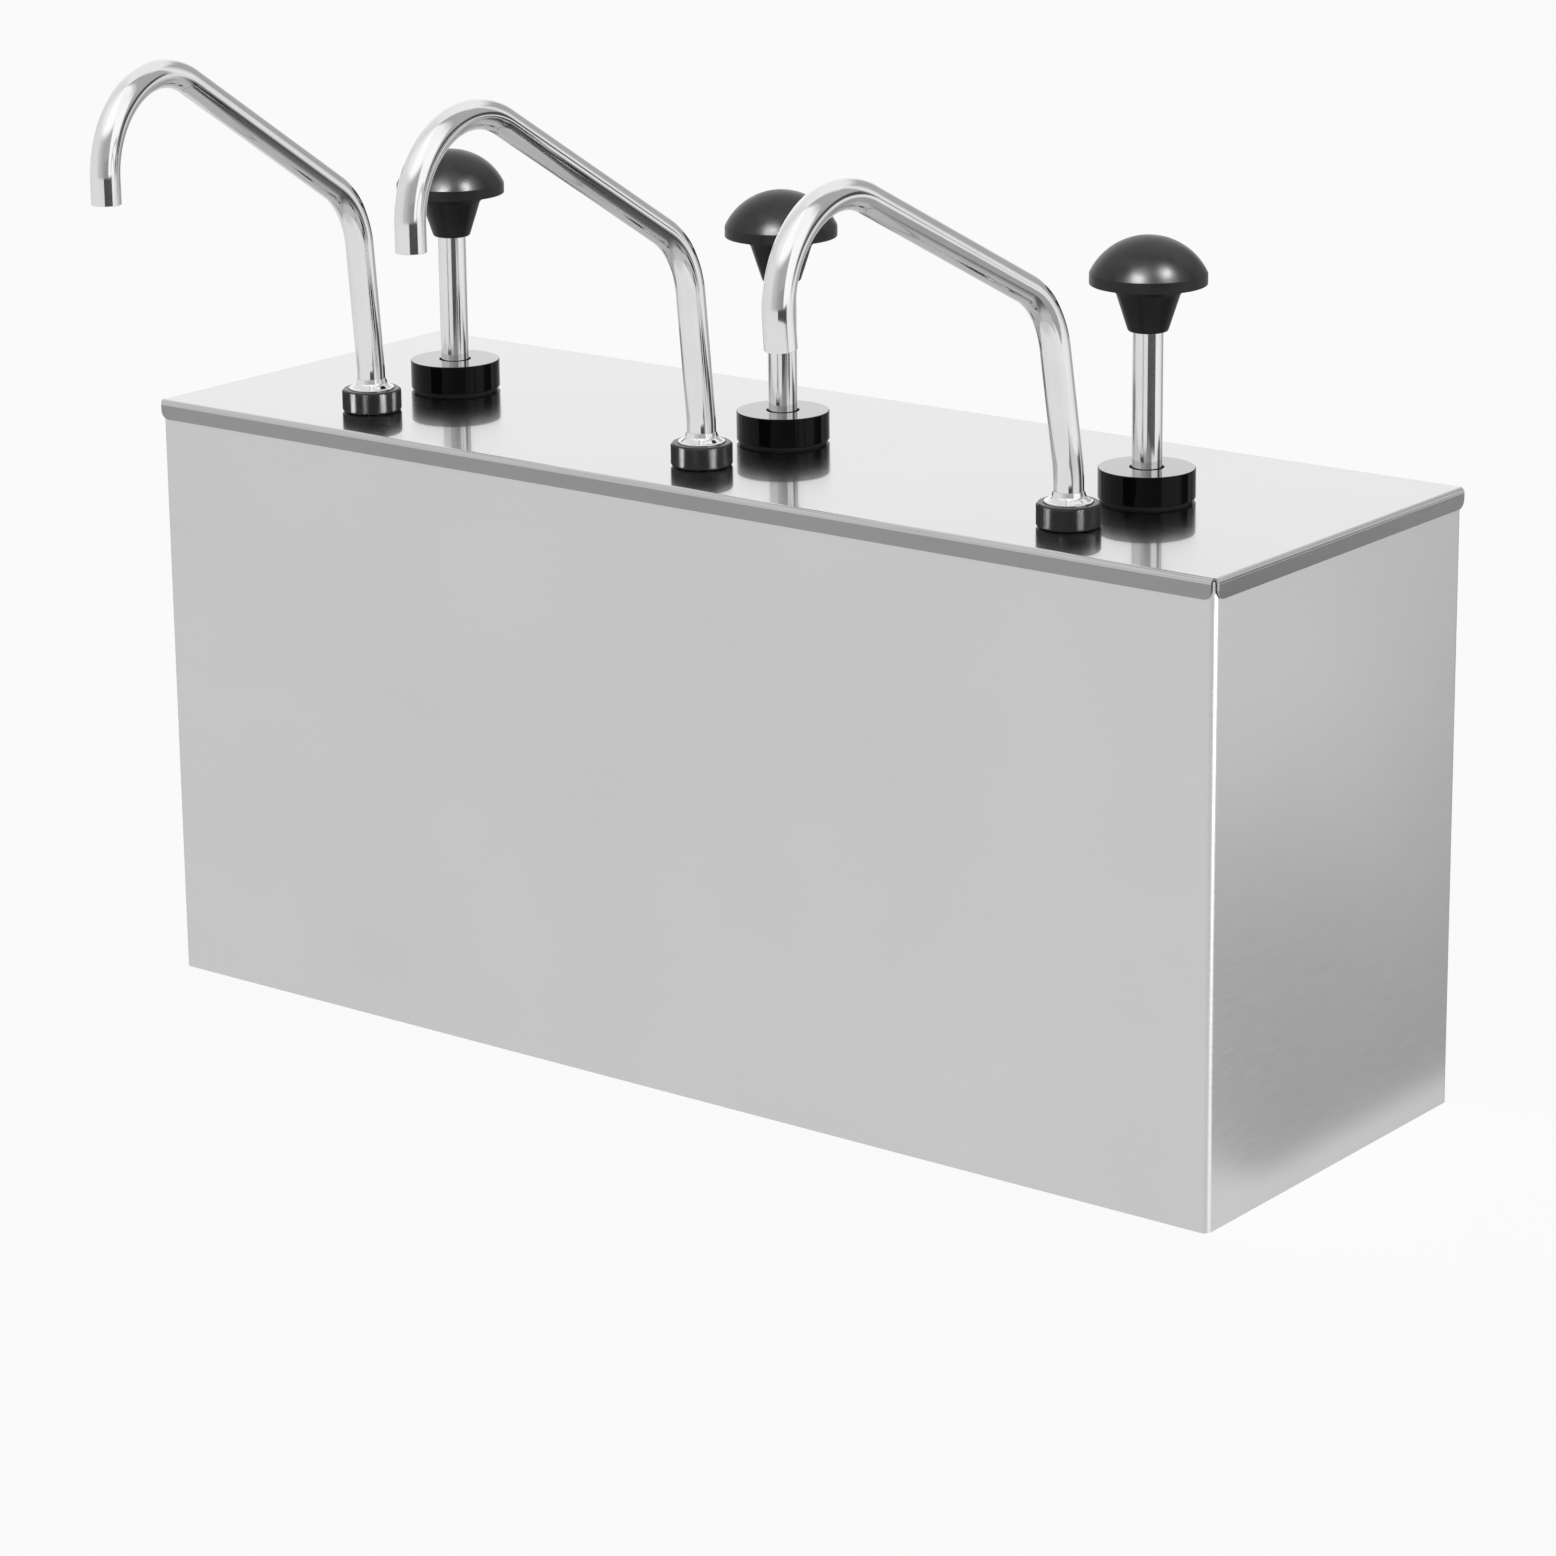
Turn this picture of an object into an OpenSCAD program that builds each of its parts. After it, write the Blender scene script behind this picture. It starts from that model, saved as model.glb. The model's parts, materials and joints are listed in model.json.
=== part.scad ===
// Sauce pump dispenser with three bays: a folded sheet casing, a lift-off lid that carries
// three hand pumps with their spouts, and a sauce tub under each pump.
// X runs along the long front, -Y is the side that the spouts face and +Z is up.
// The origin is the middle of the underside. All lengths are in millimetres.

/* [Casing] */
// Length of the casing, end to end
body_l = 540; // [510:1:630]
// Depth of the casing, front to back
body_w = 180; // [172:1:220]
// Height of the casing walls, up to the underside of the lid
wall_h = 257; // [220:1:320]
// Thickness of the casing sheet
sheet_t = 1; // [0.8:0.1:1.5]
// Outer radius of the vertical bends
corner_r = 3; // [3:0.1:6]
// Depth of the doubled hem along the top edge
hem_h = 12; // [6:1:16]
// Height of the upturned lip around the base tray
tray_lip_h = 12; // [6:1:20]
// Gap between the base tray and the casing walls
tray_fit = 0.2; // [0.1:0.1:0.5]

/* [Lid] */
// Thickness of the lid sheet
lid_t = 1; // [0.8:0.1:1.5]
// Gap between the lid flanges and the casing
lid_fit = 0.3; // [0.2:0.1:1]
// Overall height of the folded flanges
flange_h = 8.3; // [6:0.1:14]
// Outer radius of the bend between lid and flange
lid_bend_r = 2.2; // [1.8:0.1:3]
// Radius of the lower corners of the flanges
flange_end_r = 3.6; // [1:0.1:3.8]
// Gap around what passes through the lid
hole_fit = 0.3; // [0.2:0.1:0.6]
// Thickness of the flat gaskets under the lid
gasket_t = 1; // [0.5:0.1:2]

/* [Sauce tubs] */
// Gap between the rims of neighbouring tubs
tub_gap = 6; // [6:1:16]
// Gap between a tub rim and the hem of the casing
tub_side_fit = 1; // [0.5:0.1:3]
// Wall thickness of a tub
tub_wall = 1; // [0.8:0.1:2]
// Corner radius of a tub
tub_corner_r = 22; // [10:1:40]
// How far the rim stands out from the wall
tub_rim_w = 3; // [2:0.1:6]
// Height of the rolled rim
tub_rim_h = 3; // [2:0.1:6]
// Distance from the rim up to the lid
tub_headroom = 20; // [16:1:30]

/* [Plunger] */
// Travel of the knob
stroke = 50; // [30:1:55]
// Gap that stays between knob and collar at the end of the stroke
knob_gap = 4.2; // [2:0.1:8]
// Diameter of the plunger rod
rod_d = 12; // [10:0.1:13]
// Radial running clearance of rod, seals and spout tube
run_fit = 0.05; // [0.03:0.01:0.08]
// Diameter of the knob cap
knob_d = 46.2; // [40:0.1:56]
// Height of the domed top of the knob
dome_h = 14.6; // [10:0.1:18]
// Height of the upright rim of the knob
rim_h = 4.4; // [2:0.1:8]
// Diameter of the ring under the cap
neck_ring_d = 26.6; // [26.6:0.1:32]
// Height of the ring under the cap
neck_ring_h = 3.2; // [1:0.1:6]
// Diameter of the neck at its upper end
neck_top_d = 25.6; // [22:0.1:26]
// Diameter of the neck at its lower end
neck_bottom_d = 15.6; // [15.2:0.1:20]
// Height of the conical neck
neck_h = 15.4; // [10:0.1:24]
// Depth of the rod socket in the knob
socket_h = 22; // [12:1:26]
// Height of the piston
piston_h = 16; // [12:1:24]
// Height of the piston seal
seal_h = 4.8; // [3:0.1:6]

/* [Collar and barrel] */
// Diameter of the collar on the lid
collar_d = 38.6; // [36:0.1:46]
// Height of the collar
collar_h = 12.1; // [9:0.1:18]
// Thickness of the collar top
collar_cap_t = 3.2; // [2:0.1:4]
// Diameter of the hole in the collar top
collar_hole_d = 13.4; // [13.2:0.1:15]
// Thickness of the washer under the collar
washer_t = 1.1; // [0.6:0.1:2]
// How far the washer sits inside the edge of the collar
washer_inset = 1.3; // [0.5:0.1:1.4]
// Diameter of the threaded stem through the lid
stem_d = 32; // [28:0.1:33]
// Diameter of the flange that bears on the lid from below
head_flange_d = 44; // [40:0.1:52]
// Thickness of that flange
head_flange_t = 4; // [3:0.1:6]
// Depth of the socket that holds the barrel tube
barrel_socket_h = 14; // [8:1:18]
// Outer diameter of the barrel tube
barrel_d = 30; // [28:0.1:32]
// Wall thickness of the barrel tube
barrel_wall = 1; // [0.8:0.1:1.4]
// Diameter of the vent holes near the top of the barrel
vent_d = 5; // [2:0.1:7]

/* [Return spring] */
// Wire diameter
spring_wire_d = 1.8; // [1.2:0.1:2.2]
// Mean diameter of the coil
spring_mean_d = 22.6; // [21.5:0.1:23.5]
// Number of turns
spring_turns = 9; // [6:1:10]
// Length that the spring keeps beyond stroke and solid length
spring_spare = 13; // [8:1:20]

/* [Valves] */
// Height of the inlet above the tub floor
inlet_gap = 12; // [6:1:25]
// Outer diameter of the valve block
block_d = 38; // [38:0.1:44]
// Diameter of the inlet ball
inlet_ball_d = 12; // [10:0.1:13]
// Diameter of the inlet hole
inlet_d = 9; // [6:0.1:9]
// Diameter of the outlet ball
outlet_ball_d = 8; // [7.4:0.1:9]
// Diameter of the outlet seat
outlet_seat_d = 6.4; // [4:0.1:6.4]
// Lift of both balls before they meet their stop
ball_lift = 2.5; // [1.5:0.1:4]
// Outer diameter of the link tube between block and elbow
link_d = 10; // [9:0.1:11]
// Wall thickness of the link tube
link_wall = 1; // [0.8:0.1:1.5]
// Outer diameter of the outlet elbow
elbow_d = 20; // [18:0.1:24]

/* [Spout] */
// Distance of the spout axis behind the front of the casing
spout_edge = 36; // [32:1:44]
// Outer diameter of spout and riser tube
tube_d = 12; // [11.6:0.1:13]
// Wall thickness of spout and riser tube
tube_wall = 1; // [0.6:0.1:1.5]
// Height of the upright foot of the spout above the lid
spout_foot_h = 15.5; // [15.5:0.1:24]
// Forward lean that is bent into each riser above its foot
riser_lean = 5.6; // [1:0.1:8]
// Length of foot and riser up to the lower bend
riser_h = 72; // [48:0.1:90]
// Centreline radius of the lower bend
lower_bend_r = 37.9; // [30:0.1:70]
// Slope of the long stretch above the horizontal
slope_a = 31.2; // [20:0.1:45]
// Length of the sloping stretch
slope_l = 110.1; // [60:0.1:140]
// Centreline radius of the top bend
top_bend_r = 36.3; // [25:0.1:50]
// Straight length at the outlet
outlet_l = 10.4; // [6:0.1:30]
// Centreline radius of the slight bend above the foot
lean_bend_r = 60; // [30:1:100]
// Heading of the left spout away from straight forward
left_heading = 6.7; // [-10:0.1:10]
// Heading of the middle spout
middle_heading = 0.6; // [-10:0.1:10]
// Heading of the right spout
right_heading = 0.3; // [-10:0.1:10]
// Forward tilt of the whole left spout
left_tilt = 0; // [0:0.1:8]
// Forward tilt of the whole middle spout
middle_tilt = 0.5; // [0:0.1:8]
// Forward tilt of the whole right spout
right_tilt = 5.2; // [0:0.1:8]

/* [Spout nut and stud] */
// Diameter of the knurled nut
nut_d = 25.3; // [24:0.1:30]
// Height of the knurled nut
nut_h = 9.6; // [9:0.1:14]
// Thickness of the lip at the top of the nut
nut_lip_t = 1.8; // [1:0.1:2.2]
// Diameter of the opening in that lip
nut_open_d = 19.5; // [19:0.1:20]
// Diameter of the stud thread under the nut
stud_thread_d = 21.2; // [20.8:0.1:22]
// Thickness of the stud flange on the lid
stud_flange_t = 1; // [0.8:0.1:2]
// Diameter of the stud flange
stud_flange_d = 22; // [21.6:0.1:22.2]
// Diameter of the stud shank through the lid
shank_d = 18; // [17:0.1:19]
// Length of the shank below the lid
shank_l = 20; // [15:1:24]
// Width across flats of the lock nut
locknut_af = 24; // [23:0.1:27]
// Height of the lock nut
locknut_h = 5; // [4:0.1:8]
// Thickness of the ferrule flange
ferrule_flange_t = 2; // [1:0.1:2.4]
// Height of the ferrule cone above the nut
cone_h = 4.5; // [3:0.1:8]
// Height of the bead at the foot of the cone
bead_h = 0.8; // [0.4:0.1:1.4]
// Section diameter of the O-ring
oring_d = 1.8; // [1.4:0.1:2]

/* [Hidden] */
$fn = 64;
bays = 3;
sides = ["left", "middle", "right"];
heading = [left_heading, middle_heading, right_heading];
lean = [riser_lean + left_tilt, riser_lean + middle_tilt, riser_lean + right_tilt];
pitch = body_l / bays;
spout_set = body_w / 2 - spout_edge;  // how far the spout axis stands in front of the pump axis
cut = 1;            // how far a cutting body reaches past the face it opens
join_fit = 0.05;    // radial gap of threads and sockets within one assembly
turn_fit = 0.1;     // gap between faces that turn on each other
small_chamfer = 0.5;

// lid plate over the casing
lid_l = body_l + 2 * (lid_fit + lid_t);
lid_w = body_w + 2 * (lid_fit + lid_t);

// the fold along the top of the casing is rounder than the inside of the lid bend above it
hem_ease = 7 / 6;
hem_limit = 1.8;    // most sheet thicknesses in its radius
hem_r = min(hem_ease * (lid_bend_r - lid_t), hem_limit * sheet_t);

// levels of the lid and of what stands on it
lid_top = wall_h + lid_t;
collar_z = lid_top + washer_t;
collar_top = collar_z + collar_h;
bush_flange_t = 1.5;
bush_wall = 4;
bush_sleeve_d = rod_d + 2 * bush_wall;
bush_sleeve_h = 12;
stem_top = collar_top - collar_cap_t - bush_flange_t;
knob_z = collar_top + stroke + knob_gap;
neck_fillet_h = 1.2;
ring_z = knob_z + neck_h;
rim_z = ring_z + neck_ring_h;
dome_z = rim_z + rim_h;
head_flange_z = wall_h - gasket_t - head_flange_t;

// levels from the tub floor up
tub_z = sheet_t;
tub_h = wall_h - tub_headroom - tub_z;
tub_rim_x = pitch - tub_gap;
tub_rim_y = body_w - 4 * sheet_t - 2 * tub_side_fit;
inlet_z = tub_z + tub_wall + inlet_gap;
inlet_flange_h = 6;
inlet_sleeve_h = 14;
inlet_seat_z = inlet_z + inlet_flange_h + inlet_sleeve_h;
inlet_ball_r = inlet_ball_d / 2;
inlet_ball_z = inlet_seat_z + run_fit + sqrt(pow(inlet_ball_r, 2) - pow(inlet_d / 2, 2));
web_z = inlet_ball_z + inlet_ball_r + ball_lift;
web_t = 3.5;
shoulder_z = web_z + web_t;
cavity_d = 18;
port_z = inlet_seat_z + inlet_ball_r;
block_top = shoulder_z + barrel_socket_h;
inlet_sleeve_d = 28;

// plunger
spring_l = stroke + spring_turns * spring_wire_d + spring_spare;
piston_z = shoulder_z + spring_l;
piston_top = piston_z + piston_h;
barrel_bore_d = barrel_d - 2 * barrel_wall;
piston_play = 0.4;
piston_d = barrel_bore_d - 2 * piston_play;
seal_w = 2.5;
groove_d = barrel_bore_d - 2 * seal_w;
rod_step = 1;
tail_d = rod_d - 2 * rod_step;
piston_floor_t = 3;
tail_l = piston_h - piston_floor_t;
seal_z = piston_z + piston_h / 2 - seal_h / 2;

// outlet side
tube_bore_d = tube_d - 2 * tube_wall;
tube_socket_d = tube_d + 2 * join_fit;
outlet_land = 1;
outlet_seat_z = port_z + link_d / 2 + outlet_land;
outlet_ball_r = outlet_ball_d / 2;
outlet_ball_z = outlet_seat_z + run_fit + sqrt(pow(outlet_ball_r, 2) - pow(outlet_seat_d / 2, 2));
stop_pin_d = 2;
stop_pin_z = outlet_ball_z + outlet_ball_r + ball_lift + stop_pin_d / 2;
stop_pin_cover = 0.6;
riser_z = stop_pin_z + stop_pin_d / 2 + stop_pin_cover;
elbow_z = port_z - elbow_d / 2;
riser_socket_l = 13;
elbow_top = riser_z + riser_socket_l;
link_socket_l = 4;
link_y0 = block_d / 2 - link_socket_l;
link_y1 = spout_set - elbow_d / 2 + link_socket_l;
stud_socket_l = 12;
stud_bottom = lid_top - shank_l - lid_t;
riser_top = stud_bottom + stud_socket_l;

// spout nut, stud and ferrule
lip_fit = 0.15;
foot_gap = 0.3;
recess_fit = 0.3;   // the recess under the nut clears the stud flange by this much all around
nut_z = lid_top + turn_fit;
nut_top = nut_z + nut_h;
lip_z = nut_top - nut_lip_t;
ferrule_z = lip_z - lip_fit - ferrule_flange_t;
stud_top = ferrule_z - turn_fit;
ferrule_flange_d = stud_thread_d - 2 * turn_fit;
spout_z = lid_top + foot_gap;
oring_z = (spout_z + stud_top) / 2;
oring_mean_d = tube_d + 2 * run_fit + oring_d;
bend_draw = 0.02;   // the drawn bends are this much thinner than the straights, outside and inside
bend_lap = 0.2;     // and each straight runs this far into the bend next to it

// basic shapes

module rounded_rect(l, w, r) {
    square([l - 2 * r, w], center = true);
    square([l, w - 2 * r], center = true);
    for (x = [-1, 1], y = [-1, 1])
        translate([x * (l / 2 - r), y * (w / 2 - r)]) circle(r);
}

module slab(l, w, r, h) {
    linear_extrude(h) rounded_rect(l, w, r);
}

// a slab whose upper edge is rounded with the radius r all around
module soft_slab(l, w, corner, h, r) {
    slab(l, w, corner, h - r);
    translate([0, 0, h - r]) {
        slab(l - 2 * r, w - 2 * r, corner - r, r);
        for (a = [0, 180]) rotate(a) {
            translate([0, w / 2 - r, 0]) rounded_edge(l - 2 * corner, r);
            translate([l / 2 - r, 0, 0]) rotate(-90) rounded_edge(w - 2 * corner, r);
            translate([l / 2 - corner, w / 2 - corner, 0])
                rotate_extrude(angle = 90) translate([corner - r, 0]) quarter(r);
            translate([-l / 2 + corner, w / 2 - corner, 0]) rotate(90)
                rotate_extrude(angle = 90) translate([corner - r, 0]) quarter(r);
        }
    }
}

module rounded_edge(l, r) {
    translate([-l / 2, 0, 0]) rotate([90, 0, 90]) linear_extrude(l) quarter(r);
}

module quarter(r) {
    intersection() {
        circle(r);
        square(r);
    }
}

module ring(d_out, d_in, h) {
    difference() {
        cylinder(d = d_out, h = h);
        translate([0, 0, -cut]) cylinder(d = d_in, h = h + 2 * cut);
    }
}

// a body of revolution from [radius, height] points
module turned(points) {
    rotate_extrude() polygon(points);
}

// place a pump piece in one bay, or on the spout axis of that bay
module at_pump(i) {
    translate([(i - (bays - 1) / 2) * pitch, 0, 0]) children();
}

module at_spout(i) {
    at_pump(i) translate([0, -spout_set, 0]) children();
}

// casing

module casing_shell() {
    color("silver")
    difference() {
        soft_slab(body_l, body_w, corner_r, wall_h, hem_r);
        translate([0, 0, -cut])
            slab(body_l - 2 * sheet_t, body_w - 2 * sheet_t, corner_r - sheet_t, wall_h - hem_h + cut);
        slab(body_l - 4 * sheet_t, body_w - 4 * sheet_t, corner_r - sheet_t, wall_h + cut);
    }
}

module base_tray() {
    inset = 2 * (sheet_t + tray_fit);
    color("darkgray")
    difference() {
        slab(body_l - inset, body_w - inset, corner_r - sheet_t, tray_lip_h);
        translate([0, 0, sheet_t])
            slab(body_l - inset - 2 * sheet_t, body_w - inset - 2 * sheet_t, small_chamfer, tray_lip_h);
    }
}

module sauce_tub() {
    wall_x = tub_rim_x - 2 * tub_rim_w;
    wall_y = tub_rim_y - 2 * tub_rim_w;
    color("lightgray")
    translate([0, 0, tub_z])
    difference() {
        union() {
            slab(wall_x, wall_y, tub_corner_r, tub_h);
            translate([0, 0, tub_h - tub_rim_h])
                slab(tub_rim_x, tub_rim_y, tub_corner_r + tub_rim_w, tub_rim_h);
        }
        translate([0, 0, tub_wall])
            slab(wall_x - 2 * tub_wall, wall_y - 2 * tub_wall, tub_corner_r - tub_wall, tub_h);
    }
}

// lid

// one folded flange along X, with its bend, at the plate edge y = 0 and folded towards -Y
module flange(l) {
    leaf_h = flange_h - lid_bend_r;
    translate([-l / 2, 0, -lid_bend_r]) rotate([90, 0, 90])
        linear_extrude(l)
            intersection() {
                difference() {
                    circle(lid_bend_r);
                    circle(lid_bend_r - lid_t);
                }
                translate([-lid_bend_r, 0]) square(lid_bend_r);
            }
    translate([0, -lid_bend_r + lid_t, -flange_h]) rotate([90, 0, 0])
        linear_extrude(lid_t) {
            translate([-l / 2, flange_end_r]) square([l, leaf_h - flange_end_r]);
            translate([-l / 2 + flange_end_r, 0]) square([l - 2 * flange_end_r, flange_end_r]);
            for (x = [-1, 1]) translate([x * (l / 2 - flange_end_r), flange_end_r]) circle(flange_end_r);
        }
}

module lid_panel() {
    plate_l = lid_l - 2 * lid_bend_r;
    plate_w = lid_w - 2 * lid_bend_r;
    color("gainsboro")
    difference() {
        union() {
            translate([-plate_l / 2, -plate_w / 2, wall_h]) cube([plate_l, plate_w, lid_t]);
            translate([0, 0, lid_top]) {
                translate([0, -plate_w / 2, 0]) flange(plate_l);
                rotate(180) translate([0, -plate_w / 2, 0]) flange(plate_l);
                rotate(90) translate([0, -plate_l / 2, 0]) flange(plate_w);
                rotate(-90) translate([0, -plate_l / 2, 0]) flange(plate_w);
            }
        }
        for (i = [0:bays - 1]) {
            at_pump(i) translate([0, 0, wall_h - cut])
                cylinder(d = stem_d + 2 * hole_fit, h = lid_t + 2 * cut);
            at_spout(i) translate([0, 0, wall_h - cut])
                cylinder(d = shank_d + 2 * hole_fit, h = lid_t + 2 * cut);
        }
    }
}

// plunger

module knob() {
    cap_r = knob_d / 2;
    ball_r = (pow(cap_r, 2) + pow(dome_h, 2)) / (2 * dome_h);
    low_r = neck_bottom_d / 2;
    color("#2b2b2b")
    translate([0, 0, knob_z])
    difference() {
        rotate_extrude() {
            polygon([
                [0, 0], [low_r - neck_fillet_h, 0], [low_r, neck_fillet_h],
                [neck_top_d / 2, neck_h], [neck_ring_d / 2, neck_h],
                [neck_ring_d / 2, rim_z - knob_z], [cap_r, rim_z - knob_z],
                [cap_r, dome_z - knob_z], [0, dome_z - knob_z]
            ]);
            intersection() {
                translate([0, dome_z - knob_z + dome_h - ball_r]) circle(ball_r, $fn = 128);
                translate([0, dome_z - knob_z]) square([cap_r, dome_h]);
            }
        }
        translate([0, 0, -cut]) cylinder(d = rod_d + 2 * join_fit, h = socket_h + cut);
    }
}

module plunger_rod() {
    rod_top = knob_z + socket_h;
    color("gainsboro") {
        translate([0, 0, piston_top]) cylinder(d = rod_d, h = rod_top - piston_top - small_chamfer);
        translate([0, 0, rod_top - small_chamfer])
            cylinder(d1 = rod_d, d2 = rod_d - 2 * small_chamfer, h = small_chamfer);
        translate([0, 0, piston_top - tail_l]) cylinder(d = tail_d, h = tail_l);
    }
}

module piston() {
    color("ivory")
    translate([0, 0, piston_z])
    difference() {
        cylinder(d = piston_d, h = piston_h);
        translate([0, 0, piston_h - tail_l]) cylinder(d = tail_d + 2 * join_fit, h = tail_l + cut);
        translate([0, 0, seal_z - piston_z - join_fit]) ring(barrel_d, groove_d, seal_h + 2 * join_fit);
    }
}

module piston_seal() {
    color("dimgray")
    translate([0, 0, seal_z])
        ring(barrel_bore_d - 2 * run_fit, groove_d + 2 * join_fit, seal_h);
}

// closed sweep of a round wire along a helix
module return_spring() {
    steps = 16 * spring_turns;
    sides_n = 8;
    rise = spring_l - spring_wire_d - 2 * join_fit;
    wire_r = spring_wire_d / 2;
    points = [for (k = [0:steps]) let (a = 360 * spring_turns * k / steps)
        for (j = [0:sides_n - 1]) let (b = 360 * j / sides_n, r = spring_mean_d / 2 + wire_r * cos(b))
            [r * cos(a), r * sin(a), rise * k / steps + wire_r * sin(b)]];
    walls = [for (k = [0:steps - 1], j = [0:sides_n - 1]) let (n = (j + 1) % sides_n, o = k * sides_n)
        [o + j, o + sides_n + j, o + sides_n + n, o + n]];
    first = [for (j = [0:sides_n - 1]) j];
    last = [for (j = [sides_n - 1:-1:0]) steps * sides_n + j];
    color("lightslategray")
    translate([0, 0, shoulder_z + join_fit + wire_r])
        polyhedron(points, concat(walls, [first, last]));
}

// collar and barrel

module pump_collar() {
    r = collar_d / 2;
    thread_r = stem_d / 2 + join_fit;
    hole_r = collar_hole_d / 2;
    color("#151515")
    translate([0, 0, collar_z])
    turned([
        [thread_r, 0], [r - small_chamfer, 0], [r, small_chamfer], [r, collar_h - small_chamfer],
        [r - small_chamfer, collar_h], [hole_r + small_chamfer, collar_h],
        [hole_r, collar_h - small_chamfer], [hole_r, collar_h - collar_cap_t],
        [thread_r, collar_h - collar_cap_t]
    ]);
}

module collar_washer() {
    color("#303030")
    translate([0, 0, lid_top]) ring(collar_d - 2 * washer_inset, stem_d + 2 * hole_fit, washer_t);
}

module rod_bush() {
    flange_d = stem_d - 2;
    h = bush_sleeve_h + bush_flange_t;
    color("white")
    translate([0, 0, stem_top - bush_sleeve_h])
    difference() {
        union() {
            cylinder(d = bush_sleeve_d, h = h);
            translate([0, 0, bush_sleeve_h]) cylinder(d = flange_d, h = bush_flange_t);
        }
        translate([0, 0, -cut]) cylinder(d = rod_d + 2 * run_fit, h = h + 2 * cut);
    }
}

module barrel_head() {
    sleeve_wall = 3;
    sleeve_d = barrel_d + 2 * sleeve_wall;
    socket_z = head_flange_z - barrel_socket_h;
    color("#3a3a3a")
    difference() {
        union() {
            translate([0, 0, socket_z]) cylinder(d = sleeve_d, h = barrel_socket_h + cut);
            translate([0, 0, head_flange_z]) cylinder(d = head_flange_d, h = head_flange_t);
            translate([0, 0, head_flange_z + head_flange_t])
                cylinder(d = stem_d, h = stem_top - head_flange_z - head_flange_t);
        }
        translate([0, 0, socket_z - cut]) cylinder(d = barrel_d + 2 * join_fit, h = barrel_socket_h + cut);
        translate([0, 0, head_flange_z - cut])
            cylinder(d = bush_sleeve_d + 2 * join_fit, h = stem_top - head_flange_z + 2 * cut);
    }
}

module barrel_tube() {
    vent_z = head_flange_z - barrel_socket_h - vent_d;
    color("lightgray")
    difference() {
        translate([0, 0, shoulder_z]) ring(barrel_d, barrel_bore_d, head_flange_z - shoulder_z);
        translate([-barrel_d, 0, vent_z]) rotate([0, 90, 0]) cylinder(d = vent_d, h = 2 * barrel_d);
    }
}

// valves and outlet

module valve_block() {
    block_z = inlet_z + inlet_flange_h;
    web_holes = 4;
    web_hole_d = 4.6;
    web_hole_r = cavity_d / 2 - 3;
    color("whitesmoke")
    difference() {
        translate([0, 0, block_z]) cylinder(d = block_d, h = block_top - block_z);
        translate([0, 0, shoulder_z]) cylinder(d = barrel_d + 2 * join_fit, h = barrel_socket_h + cut);
        translate([0, 0, inlet_seat_z - cut]) cylinder(d = cavity_d, h = web_z - inlet_seat_z + cut);
        translate([0, 0, inlet_z]) cylinder(d = inlet_sleeve_d + 2 * join_fit, h = inlet_seat_z - inlet_z);
        for (k = [0:web_holes - 1]) rotate(45 + 360 / web_holes * k)
            translate([web_hole_r, 0, web_z - cut]) cylinder(d = web_hole_d, h = web_t + 2 * cut);
        translate([0, 0, port_z]) rotate([90, 0, 0]) cylinder(d = link_d - 2 * link_wall, h = block_d);
        translate([0, -link_y0, port_z]) rotate([90, 0, 0])
            cylinder(d = link_d + 2 * join_fit, h = block_d);
    }
}

module inlet_cap() {
    notch_w = 5;
    notch_h = 3;
    color("whitesmoke")
    translate([0, 0, inlet_z])
    difference() {
        union() {
            cylinder(d = block_d - 2, h = inlet_flange_h);
            cylinder(d = inlet_sleeve_d, h = inlet_flange_h + inlet_sleeve_h);
        }
        translate([0, 0, -cut]) cylinder(d = inlet_d, h = inlet_flange_h + inlet_sleeve_h + 2 * cut);
        for (a = [0, 90]) rotate(a)
            translate([-block_d, -notch_w / 2, -cut]) cube([2 * block_d, notch_w, notch_h + cut]);
    }
}

module inlet_ball() {
    color("silver") translate([0, 0, inlet_ball_z]) sphere(d = inlet_ball_d);
}

module outlet_ball() {
    color("silver") translate([0, 0, outlet_ball_z]) sphere(d = outlet_ball_d);
}

module link_tube() {
    color("silver")
    translate([0, -link_y0, port_z]) rotate([90, 0, 0])
        ring(link_d, link_d - 2 * link_wall, link_y1 - link_y0);
}

module outlet_elbow() {
    chamber_d = (tube_bore_d + tube_socket_d) / 2;
    pin_l = (elbow_d + chamber_d) / 2;
    color("whitesmoke") {
        difference() {
            translate([0, 0, elbow_z]) cylinder(d = elbow_d, h = elbow_top - elbow_z);
            translate([0, 0, port_z]) cylinder(d = outlet_seat_d, h = outlet_seat_z - port_z + cut);
            translate([0, 0, outlet_seat_z]) cylinder(d = chamber_d, h = riser_z - outlet_seat_z + cut);
            translate([0, 0, riser_z]) cylinder(d = tube_socket_d, h = elbow_top - riser_z + cut);
            translate([0, 0, port_z]) rotate([-90, 0, 0]) cylinder(d = link_d - 2 * link_wall, h = elbow_d);
            translate([0, elbow_d / 2 - link_socket_l, port_z]) rotate([-90, 0, 0])
                cylinder(d = link_d + 2 * join_fit, h = elbow_d);
        }
        translate([-pin_l / 2, 0, stop_pin_z]) rotate([0, 90, 0]) cylinder(d = stop_pin_d, h = pin_l);
    }
}

module riser_tube() {
    color("silver") translate([0, 0, riser_z]) ring(tube_d, tube_bore_d, riser_top - riser_z);
}

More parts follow.
